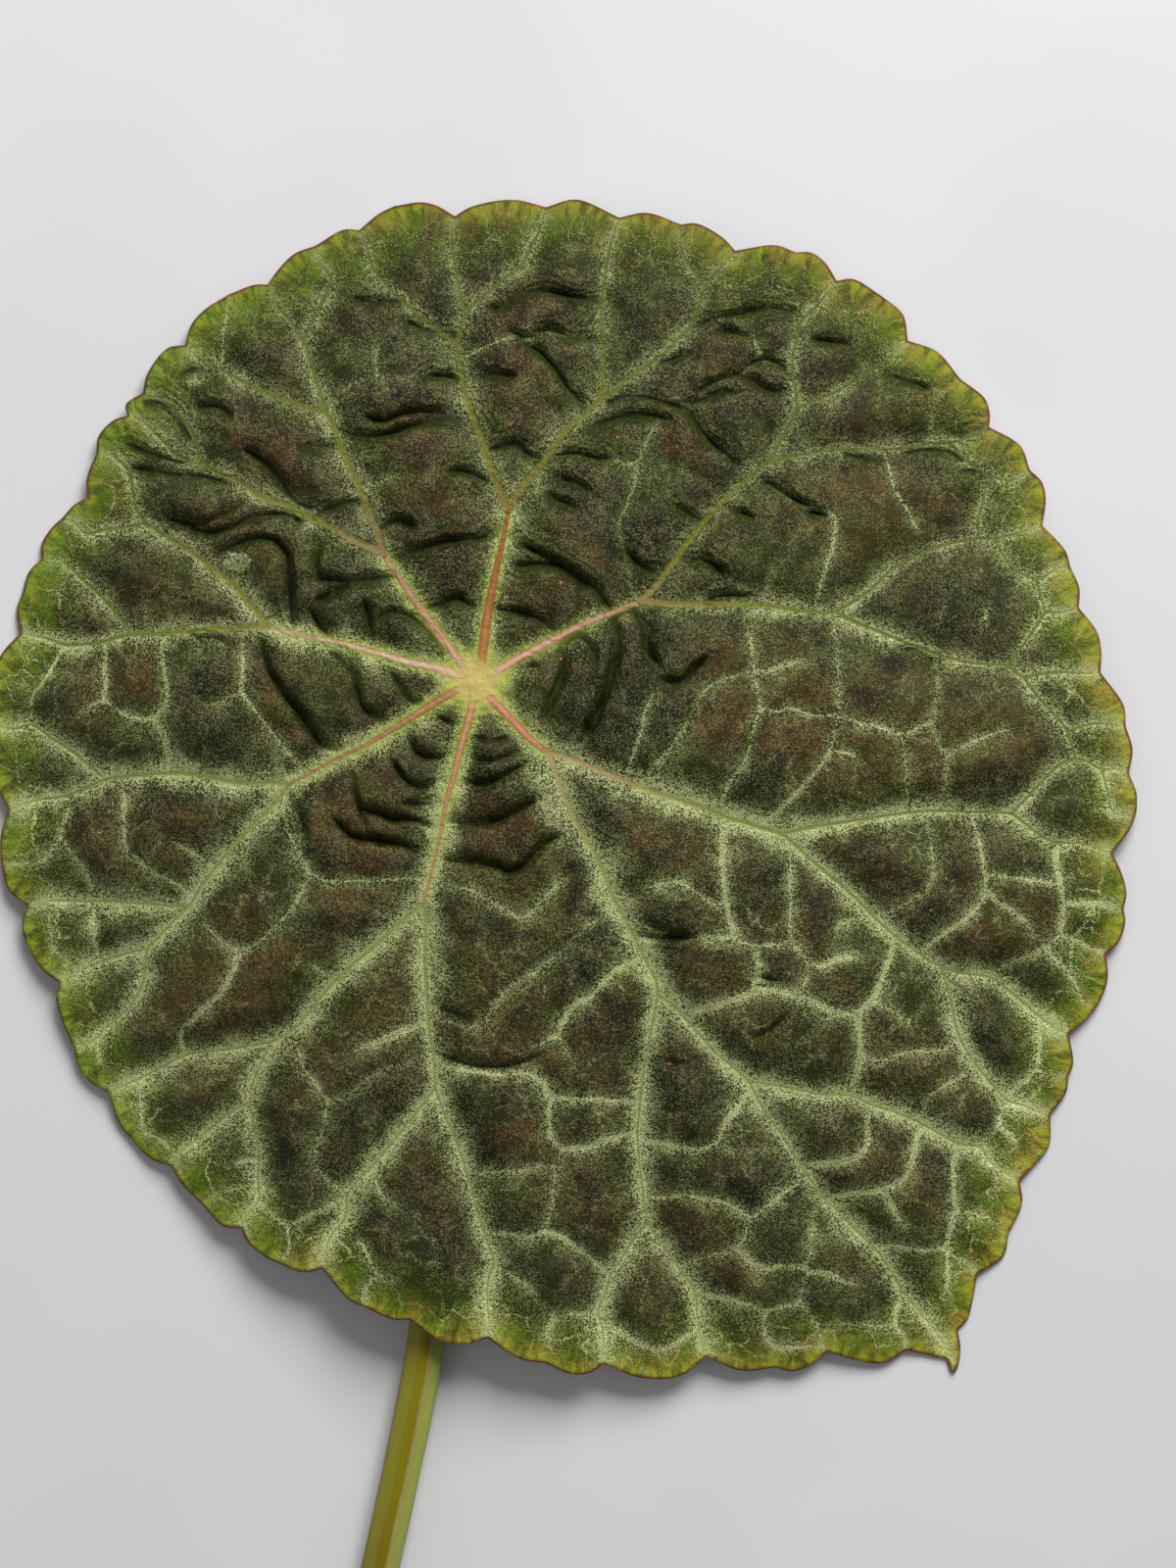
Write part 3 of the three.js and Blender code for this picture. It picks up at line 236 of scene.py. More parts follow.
# The net that ties the branches together
CROSS_VEINS = traced("""
473,369 497,358 519,349 548,343 578,347 614,350
598,422 583,401 561,374 548,358 535,347
575,446 567,430 551,409
618,406 657,406 690,413 705,420 725,452 741,470 755,484
690,430 674,433 658,457 650,479 647,497 642,513 631,540 633,556 639,580 646,614
650,479 668,480 695,484 722,500 735,513
565,470 588,468 617,473 650,479
808,371 792,374 776,366 768,350 768,335
705,420 725,398 746,387 765,374 776,366
708,334 733,328 765,320 792,316 817,312 834,312
842,315 860,318 879,319 892,307 900,301
900,372 919,384 938,386 951,393 957,401 967,398 981,386
957,401 954,412 950,433 946,453
900,460 906,481 911,503 922,521 933,540 941,556
772,494 789,503 801,511 825,521 845,527 849,530 848,554 842,575 834,602 829,622
799,556 789,575 781,602 777,618
847,632 850,654 852,680 852,707 852,731 847,750 844,766
852,731 871,738 892,742 915,750 930,745 947,737
951,669 954,688 953,712 947,734 953,758 962,771 963,787 959,812 955,826
962,771 978,763 1000,753 1021,745 1040,748
915,750 919,771 922,798 922,828
844,766 834,782 817,801 799,820 780,838 772,844
844,766 868,771 887,782
757,629 762,648 766,675 769,699 772,723 765,750 757,777 741,801 733,828
772,723 792,728 801,723 825,731 852,731
766,687 749,691 727,699 714,710 703,731 687,758 671,777 658,800
679,699 666,710 658,726 652,750 644,774 636,795
594,887 575,897 561,908 548,924 535,935 519,927 497,913 478,905 457,901 441,899
620,930 599,943 583,959 564,975 548,988 529,999 519,1006 505,1024 497,1037 481,1044 465,1040 \
    440,1040
650,977 631,986 615,999 604,1013 588,1021 577,1035 569,1051 556,1059 537,1066
569,1051 575,1062 588,1085
446,1085 470,1087 508,1092 535,1091 553,1098 561,1115 561,1137 564,1158 575,1167
575,1167 594,1167 615,1161 636,1154 650,1153
575,1167 569,1187 565,1209 561,1233 556,1252
556,1252 540,1257 519,1254 497,1254
556,1252 572,1257 588,1268 604,1281 620,1296
480,1197 505,1191 529,1190 551,1185 569,1185
561,1116 604,1118 652,1121
505,1287 519,1295 535,1305 551,1321 567,1335 580,1337 599,1336 610,1335
567,1335 560,1351 560,1364 572,1374
615,1354 626,1354 644,1364 660,1372 677,1374 693,1367 713,1355
709,1317 725,1320 746,1324 765,1329 781,1335 797,1331 815,1327
781,1335 778,1348 781,1362 792,1374 815,1374 840,1372
815,1327 828,1343 836,1359 840,1375 844,1380
815,1327 816,1319 823,1292 827,1262 831,1233 836,1219
837,1350 855,1350 882,1351 914,1353
922,1319 914,1337 914,1353 922,1364 925,1379
824,1295 844,1297 860,1305 882,1311
765,1107 752,1126 738,1142 731,1161 711,1169 685,1165 651,1160
731,1161 749,1174 770,1171 800,1163
656,1217 674,1219 698,1216 725,1220 749,1228 764,1238 776,1232 792,1218 810,1206 822,1197
764,1238 760,1254 752,1270 735,1275 717,1281 690,1288
752,1270 765,1284 781,1292 796,1289 822,1291
978,1166 973,1180 972,1219 974,1234 967,1257 965,1273
974,1234 992,1237 1010,1244 1030,1260
965,1273 975,1283 989,1291 998,1301
893,1273 909,1270 927,1273 946,1275 965,1273
965,1273 967,1308 965,1335
937,1144 934,1161 929,1182 922,1198 914,1205 900,1211 882,1214 860,1217 838,1220
900,1211 909,1228 919,1246 935,1252
884,1126 883,1150 882,1166 876,1175 860,1182 842,1185 815,1186
935,1143 946,1118 962,1107 978,1099 995,1086
1028,1123 1022,1131 1017,1150 1005,1163 1000,1170
1028,1118 1042,1104 1057,1092 1059,1075 1060,1054 1064,1041
1057,1092 1075,1098 1091,1099
1017,1150 1032,1160 1045,1177
911,954 906,975 898,994 887,1019 874,1031 874,1054 875,1075 872,1091 867,1115
875,1075 895,1080 914,1074 933,1071 951,1072 978,1062
887,1019 903,1027 925,1040 945,1045
874,1031 852,1031 834,1023 807,1012 776,1008 749,1016 725,1024 702,1030
803,858 804,889 804,921 804,948 809,964 820,980 820,999 808,1012
820,980 834,983 858,975 880,978
1075,860 1076,881 1080,903 1083,921 1080,950
1083,921 1101,921 1125,923 1147,928
1080,953 1096,959 1112,967 1129,974
1080,953 1064,967 1042,976 1021,987 1008,996
1064,967 1083,986 1096,1002 1104,1020 1117,1029
941,829 946,857 949,879 946,900 933,913 914,924 893,935
987,829 994,849 998,868 1002,892 1003,911 992,927 973,943 954,956 938,972
1002,892 1016,893 1040,896 1060,899 1078,902
228,375 229,350 231,325 233,300
231,325 250,320 270,312
339,418 352,402 367,394 386,388 404,389 420,388 445,380 470,372
387,388 386,370 382,342
375,505 390,497 405,491 420,489
67,658 60,672 54,683 45,697 35,710 33,725 32,739
35,710 24,700 0,696
171,651 169,672 174,694 175,718 164,734 171,750 177,771 180,788
110,655 110,675 112,700 110,717
80,731 110,717 134,731 164,734
252,645 252,660 253,680 253,707 268,729 284,750 297,766 311,782 321,789
253,707 236,715 222,719 209,718
154,600 153,625 152,645
128,796 131,828 131,849 134,865 150,881 166,892 187,903 200,915
171,852 193,865 211,876 222,885
78,810 72,828 64,854 54,870 40,881 27,881 2,884
67,857 91,889 99,916
51,921 53,945 55,967 70,980 80,990
99,921 97,948 102,975
205,930 214,943 230,959 249,967 268,959 289,940 305,921 316,900 319,884 308,868 297,841 290,814
249,967 244,983 238,996 228,1012 214,1024 198,1040 187,1054 190,1074
317,886 335,897 362,897 388,897 420,895 441,897
313,972 329,986 345,999
303,1055 313,1086 327,1104 337,1118 356,1115 375,1099 394,1088 420,1078 443,1070
337,1118 336,1129 332,1150 324,1171 324,1185 332,1196 352,1212
356,1072 380,1062 402,1054 420,1046 439,1040
142,1102 145,1129 147,1155 161,1161 180,1175
97,1062 104,1086 112,1103
264,1201 241,1212 222,1217 207,1228
265,1226 281,1238 295,1246 316,1238 337,1228 354,1220
295,1246 296,1260 296,1273 286,1287
362,1249 375,1273 383,1289 391,1297 410,1303
386,1297 375,1311 373,1329
380,1190 396,1220 412,1230 420,1241
370,1166 386,1180
228,1185 250,1183 265,1180
705,955 746,955 760,961 780,963 803,960
734,830 735,864 737,905 742,935 748,953
645,905 665,903 688,898 712,911 733,926
760,688 781,686 808,678 832,676
1002,905 1013,918 1030,928 1045,942 1056,955
768,962 772,985 768,1003
1020,1049 1030,1073
950,655 958,630 965,612
997,656 1000,640 1004,625 1010,607
845,958 852,946 866,938 893,934
""")

# Folds pressed into the panels round the hub
FOLDS = traced("""
508,624 532,627 551,635 567,647
438,624 452,619 468,613 484,621
390,637 403,627 422,632 441,648 454,667
521,718 532,696 537,683 551,683
556,739 564,715 575,688 577,662 591,652 602,662 607,680
596,755 610,729 623,694 631,654 628,635 642,627 655,643 660,667 674,683
674,695 693,699 706,688 719,672
489,737 500,739 513,737
484,755 502,758 521,755
486,777 505,777 524,771 535,769
476,798 497,801 519,790 540,777
462,838 492,841 519,833 548,817
457,876 484,879 513,884 521,889 540,879 561,857 575,852
449,731 460,739 470,739
419,750 430,771 446,774 462,771
403,777 419,798 433,804 446,798
417,820 446,820
375,825 390,830 403,836 425,836 444,844
348,836 362,852 388,857 411,861 428,868
362,787 367,814 375,838
300,812 311,833 316,852
398,683 411,702 419,715 430,720
340,667 362,688 372,720 388,737 399,738
276,683 295,712 319,742 335,763 348,766
297,570 299,600 303,640
230,564 257,554 284,554 297,570
321,594 362,596 402,591
329,527 348,519 370,513
308,462 330,459 348,457
171,530 209,537 228,529 252,516
650,952 680,955 705,954
350,441 366,448 385,449 407,444 434,436 453,433 475,432 486,438
374,429 393,434 412,427 434,425 457,426
459,487 473,485 486,489 499,495
434,388 452,387 468,390
488,388 505,387 527,388
408,332 424,334 437,340 455,342 467,343
360,307 376,309
380,314 396,309 409,309
495,318 511,317 522,307 535,301 557,300 582,305 599,308 612,308
522,342 540,348 557,340 569,342 583,348 604,349 612,349
533,355 549,361 558,370 569,384 582,403 597,419
502,462 516,459 528,459 540,467 554,473
568,469 585,467 604,471 624,474
599,441 615,436 629,431 646,428 664,428 684,433
621,414 636,408 655,408 671,412 687,418 700,421 709,435 720,449 734,463 752,479
702,417 716,411 732,405 750,405
712,404 731,392 752,384 766,374 776,369 790,372 800,377
752,386 766,391 779,400 800,404
709,335 733,328 764,320 792,317 812,321
726,341 742,341 760,346
674,373 690,368 700,364
557,506 570,514 586,521
689,519 700,527 712,533 722,532
640,567 650,577 658,584 671,589
698,578 716,575 728,581 737,591
525,559 541,564 558,572 577,584 593,595 607,604 616,615 624,625
522,583 538,580 558,579 575,583
404,575 415,570 431,564 451,558 473,555 492,553 507,547 512,540
393,541 408,534 420,538 428,543
722,613 742,610 765,611
569,493 586,497 604,507
826,348 843,349 860,352
902,382 921,387 938,393 952,398
966,444 986,441 999,437
922,463 948,459 970,462 982,470
977,482 991,480 1005,486
862,465 884,470 902,471
776,494 792,502 806,511 822,519
824,525 842,528
744,526 756,526 767,532
914,663 932,664 947,674
184,384 197,377 215,380
203,418 217,416 231,420 240,432
150,410 165,412 178,420 188,434 196,448
128,452 146,460 166,468 190,474
138,478 165,483 190,487 214,489 236,495
254,462 272,473 285,486 296,503 310,518 326,521
200,541 222,545 240,541 256,532 276,527 294,527 308,533
325,552 330,562 324,576 330,592
328,618 342,607 358,600
322,625 328,640 338,650
376,616 380,634 383,652
205,652 222,652 240,660
268,655 273,668 277,683
""")

# Finer creases further out
CREASES = traced("""
677,1078 690,1082 706,1080 722,1074
768,1056 782,1048 796,1038 803,1027
770,994 782,996 794,997
655,940 670,944 684,949
452,1074 470,1079 497,1084 525,1082 545,1075 558,1068
447,1026 462,1029 476,1033
""")

# Course of the stalk past the margin, to its cut end
STALK_ROUTE = ((436, 1358), (426, 1420), (388, 1600), (364, 1700))

Points = np.ndarray
Socket = bpy.types.NodeSocket
Colour = tuple[float, float, float]
Pair = tuple[float, float]
Distances = dict[str, np.ndarray]


def on_plan(steps: tuple) -> Points:
    """Turns points in grid steps, right and down, into plan points round the hub, right and up."""
    return (np.array(steps, float) - HUB) * GRID * (1.0, -1.0)


def smooth_line(corners: Points, step: float, samples: int = 24) -> Points:
    """Draws a centripetal Catmull-Rom curve through plan points and spaces it evenly.

    Args:
        corners: Points that the curve passes through, in any number of dimensions.
        step: Distance between the returned points.
        samples: Number of points drawn between two corners before they are spaced.

    Returns:
        Points along the curve, its two ends included.
    """
    padded = np.vstack([2 * corners[0] - corners[1], corners, 2 * corners[-1] - corners[-2]])
    share = np.linspace(0, 1, samples, endpoint=False)[:, None]
    stretches = []
    for p0, p1, p2, p3 in zip(padded, padded[1:], padded[2:], padded[3:]):
        t0, t1, t2 = (max(np.linalg.norm(b - a), 1e-6) ** 0.5 for a, b in ((p0, p1), (p1, p2), (p2, p3)))
        leave = ((p1 - p0) / t0 - (p2 - p0) / (t0 + t1) + (p2 - p1) / t1) * t1
        arrive = ((p2 - p1) / t1 - (p3 - p1) / (t1 + t2) + (p3 - p2) / t2) * t1
        cubic = 2 * p1 - 2 * p2 + leave + arrive
        square = 3 * p2 - 3 * p1 - 2 * leave - arrive
        stretches.append(p1 + share * (leave + share * (square + share * cubic)))
    dense = np.vstack([*stretches, corners[-1:]])
    return evenly(dense, step)


def evenly(line: Points, step: float) -> Points:
    """Spaces the points of a line evenly.

    Args:
        line: Points of the line.
        step: Wanted distance between points.

    Returns:
        Points on the line at that distance or close to it.
    """
    length = np.concatenate([[0], np.cumsum(np.linalg.norm(np.diff(line, axis=0), axis=1))])
    count = max(2, round(length[-1] / step))
    wanted = np.linspace(0, length[-1], count + 1)
    return np.column_stack([np.interp(wanted, length, line[:, axis]) for axis in range(line.shape[1])])


def left_of(along: Points) -> Points:
    """Steps of length 1 to the left of some directions."""
    sideways = along[:, ::-1] * (-1.0, 1.0)
    return sideways / np.linalg.norm(sideways, axis=1)[:, None]


def in_parts(points: Points, size: int = 1500) -> list[Points]:
    """Splits points into parts of about a size, so that tables of distances stay small."""
    return np.array_split(points, max(1, len(points) // size))


def distance_to(starts: Points, ends: Points, points: Points, lift: object = 0.0) -> np.ndarray:
    """Measures how far plan points are from the nearest of some line pieces.

    Args:
        starts: First ends of the pieces.
        ends: Second ends of the pieces.
        points: Points to measure from.
        lift: Length added to the distance from each piece, which makes it count for less.

    Returns:
        One distance for each point.
    """
    along = (ends - starts).astype(np.float32)
    squared = np.maximum((along * along).sum(1), 1e-9)
    begin = starts.astype(np.float32)
    found = []
    for part in in_parts(points.astype(np.float32)):
        off_x = part[:, 0:1] - begin[:, 0]
        off_y = part[:, 1:2] - begin[:, 1]
        share = np.clip((off_x * along[:, 0] + off_y * along[:, 1]) / squared, 0, 1)
        off_x -= share * along[:, 0]
        off_y -= share * along[:, 1]
        found.append((np.sqrt(off_x * off_x + off_y * off_y) + lift).min(1))
    return np.concatenate(found).astype(float)


def smooth(value: np.ndarray) -> np.ndarray:
    """Smoothstep from 0 to 1."""
    held = np.clip(value, 0, 1)
    return held * held * (3 - 2 * held)


def ramp(value: np.ndarray, start: float, length: float) -> np.ndarray:
    """Rises smoothly from 0 at a start to 1 a length further."""
    return smooth((value - start) / length)


def bell(value: np.ndarray) -> np.ndarray:
    """Bell curve that is 1 at 0."""
    return np.exp(-np.square(value))


def turn_between(a: np.ndarray, b: np.ndarray) -> np.ndarray:
    """Smallest turn between two angles, in radians."""
    return np.abs((a - b + math.pi) % (2 * math.pi) - math.pi)


@dataclass(frozen=True)
class Waves:
    """Gentle unevenness made of crossing waves with seeded directions.

    Attributes:
        length: Typical wave length.
        count: Number of waves.
        seed: Seed of their directions and phases.
    """

    length: float
    count: int = 9
    seed: int = 5

    def at(self, points: Points) -> np.ndarray:
        """Height of the waves, from about -1 to 1.

        Args:
            points: Plan points.

        Returns:
            One height for each point.
        """
        draw = np.random.default_rng(self.seed)
        heights = np.zeros(len(points))
        for _ in range(self.count):
            direction, phase = draw.uniform(0, 2 * math.pi, 2)
            number = 2 * math.pi / (self.length * draw.uniform(0.7, 1.5))
            course = points @ np.array([math.cos(direction), math.sin(direction)])
            heights += np.sin(course * number + phase + np.sin(course * number * 0.37))
        return heights / math.sqrt(self.count)


@dataclass
class Lines:
    """The leaf's drawn lines as line pieces, and the distances to them.

    Attributes:
        step: Spacing of the points along veins and folds.
        margin_step: Spacing of the points along the margin.
        faint: Greatest lift of a whole cross vein.
        loose_ends: Lift at the loose ends of each kind, and the length over which they fade.
        fold_faint: Greatest lift of a whole fold.
        crease_lift: Lift of the fine creases.
        lip_gap: Distance from a fold out to the lip that stands over it.
        loose_gap: An end further than this from every other line is loose.
        seed: Seed of the lifts of whole lines.
    """

    step: float = 0.8
    margin_step: float = 0.6
    faint: float = 0.5
    loose_ends: dict[str, Pair] = field(default_factory=lambda: {"cross": (1.5, 3.5), "fold": (0.9, 1.8)})
    fold_faint: float = 0.15
    crease_lift: float = 0.75
    lip_gap: float = 1.1
    loose_gap: float = 1.2
    seed: int = 11
    margin: Points = field(init=False)
    routes: dict[str, list[Points]] = field(init=False)
    lifts: dict[str, np.ndarray] = field(init=False)

    def __post_init__(self) -> None:
        """Draws every line once."""
        stretches = []
        for index, lobe in enumerate(LOBES):
            corners = on_plan((*lobe, LOBES[(index + 1) % len(LOBES)][0]))
            stretches.append(smooth_line(corners, self.margin_step)[:-1])
        self.margin = np.vstack(stretches)[::-1]
        drawn = {"main": MAIN_VEINS, "side": SIDE_VEINS, "cross": CROSS_VEINS, "fold": FOLDS + CREASES}
        self.routes = {
            name: [smooth_line(on_plan(route), self.step) for route in routes]
            for name, routes in drawn.items()
        }
        draw = np.random.default_rng(self.seed)
        faint = [draw.uniform(0, self.faint) for _ in CROSS_VEINS]
        shallow = [draw.uniform(0, self.fold_faint) for _ in FOLDS] + [self.crease_lift] * len(CREASES)
        self.lifts = {"cross": self.fading("cross", faint), "fold": self.fading("fold", shallow)}
        self.lifts["lip"] = self.lifts["fold"]

    def fading(self, name: str, whole: list[float]) -> np.ndarray:
        """Lifts of the pieces of one kind: some lines are faint, and their loose ends fade.

        Args:
            name: cross or fold.
            whole: Lift of each whole line.

        Returns:
            One lift for each piece.
        """
        end_lift, end_length = self.loose_ends[name]
        margin_starts, margin_ends = self.pieces("margin")
        lifts = []
        for route, least in zip(self.routes[name], whole):
            every = [other for kind in ("main", "side", name) for other in self.routes[kind]]
            others = [other for other in every if other is not route]
            starts = np.vstack([*(other[:-1] for other in others), margin_starts])
            ends = np.vstack([*(other[1:] for other in others), margin_ends])
            middles = (route[:-1] + route[1:]) / 2
            lift = np.full(len(middles), least)
            gaps = distance_to(starts, ends, route[[0, -1]])
            for tip, gap in zip((route[0], route[-1]), gaps):
                if gap > self.loose_gap:
                    lift += end_lift * (1 - smooth(np.linalg.norm(middles - tip, axis=1) / end_length))
            lifts.append(lift)
        return np.concatenate(lifts).astype(np.float32)

    def lip(self, route: Points) -> Points:
        """Moves a fold's route away from the hub, to where its lip stands."""
        sideways = left_of(np.gradient(route, axis=0))
        return route + sideways * np.sign((sideways * route).sum(1).mean()) * self.lip_gap

    def course(self, points: Points) -> np.ndarray:
        """How far along the margin the nearest point of the margin lies.

        Args:
            points: Plan points.

        Returns:
            One length for each point.
        """
        starts, ends = self.pieces("margin")
        lengths = np.linalg.norm(ends - starts, axis=1)
        walked = np.concatenate([[0], np.cumsum(lengths)[:-1]])
        margin = starts.astype(np.float32)
        found = []
        for part in in_parts(points.astype(np.float32)):
            off_x, off_y = part[:, 0:1] - margin[:, 0], part[:, 1:2] - margin[:, 1]
            found.append(walked[(off_x * off_x + off_y * off_y).argmin(1)])
        return np.concatenate(found)

    def pieces(self, name: str) -> tuple[Points, Points]:
        """The line pieces of one kind.

        Args:
            name: margin, main, side, cross, fold or lip.

        Returns:
            The starts and the ends of the pieces.
        """
        if name == "margin":
            return self.margin, np.roll(self.margin, -1, axis=0)
        routes = [self.lip(route) for route in self.routes["fold"]] if name == "lip" else self.routes[name]
        return np.vstack([route[:-1] for route in routes]), np.vstack([route[1:] for route in routes])

    def distances(self, points: Points) -> Distances:
        """Distances from points to every kind of line, by the name of the kind."""
        kinds = ("margin", "lip", *self.routes)
        return {name: distance_to(*self.pieces(name), points, self.lifts.get(name, 0.0)) for name in kinds}

    def inside(self, points: Points) -> np.ndarray:
        """Which points lie inside the margin.

        Args:
            points: Plan points.

        Returns:
            One truth value for each point.
        """
        starts, ends = self.pieces("margin")
        found = []
        for part in in_parts(points):
            above = starts[:, 1] > part[:, 1:2]
            crosses = above != (ends[:, 1] > part[:, 1:2])
            rise = np.where(ends[:, 1] == starts[:, 1], 1e-9, ends[:, 1] - starts[:, 1])
            at = starts[:, 0] + (ends[:, 0] - starts[:, 0]) * (part[:, 1:2] - starts[:, 1]) / rise
            found.append((crosses & (part[:, 0:1] < at)).sum(1) % 2 == 1)
        return np.concatenate(found)


def sides_of(faces: np.ndarray) -> np.ndarray:
    """The sides of triangles, as pairs of indices."""
    return np.vstack([faces[:, pair] for pair in ([0, 1], [1, 2], [2, 0])])


@dataclass(frozen=True)
class Crumple:
    """Fine unevenness of the panels, at its strongest round the hub.

    A pair says where a change starts and how long it goes on.

    Attributes:
        wander: Waves that move the wrinkles round the hub.
        ring_gap: Distance between these wrinkles.
        outer_share: Share of the grain that reaches the margin.
    """

    coarse: Waves = Waves(4.2, 11, 3)
    coarse_height: float = 0.17
    fine: Waves = Waves(2.1, 11, 4)
    fine_height: float = 0.08
    wander: Waves = Waves(14, seed=8)
    wander_reach: float = 1.3
    ring_gap: float = 5.6
    ring_height: float = 0.16
    ring_rise: Pair = (6, 8)
    ring_fall: Pair = (26, 26)
    ring_clear: Pair = (0.4, 2.5)
    vein_fade: float = 2.2
    margin_fade: float = 3.0
    outer_share: float = 0.55
    inner_share: float = 0.75
    inner_fall: Pair = (20, 45)

    def at(self, points: Points, far: Distances) -> np.ndarray:
        """Height of the unevenness.

        Args:
            points: Plan points.
            far: Distances to the drawn lines.

        Returns:
            One height for each point.
        """
        reach = np.linalg.norm(points, axis=1)
        vein = np.minimum(np.minimum(far["main"], far["side"]), far["cross"])
        panel = smooth(vein / self.vein_fade) * smooth(far["margin"] / self.margin_fade)
        near = ramp(reach, *self.ring_rise) * (1 - ramp(reach, *self.ring_fall))
        ring = np.sin(2 * math.pi * (reach + self.wander_reach * self.wander.at(points)) / self.ring_gap)
        rings = self.ring_height * near * ring * ramp(vein, *self.ring_clear)
        grain = self.coarse_height * self.coarse.at(points) + self.fine_height * self.fine.at(points)
        inner = 1 - ramp(reach, *self.inner_fall)
        return rings + grain * panel * (self.outer_share + self.inner_share * inner)


class Side(Enum):
    """Material places of the blade."""

    TOP = 0
    UNDER = 1
    RIM = 2


@dataclass(frozen=True)
class Sheet:
    """One face of the blade.

    Attributes:
        plan: Plan points.
        faces: Triangles, counter-clockwise.
        far: Distances to the drawn lines.
        loop: Indices of the outer edge's points, counter-clockwise.
    """

    plan: Points
    faces: np.ndarray
    far: Distances
    loop: np.ndarray


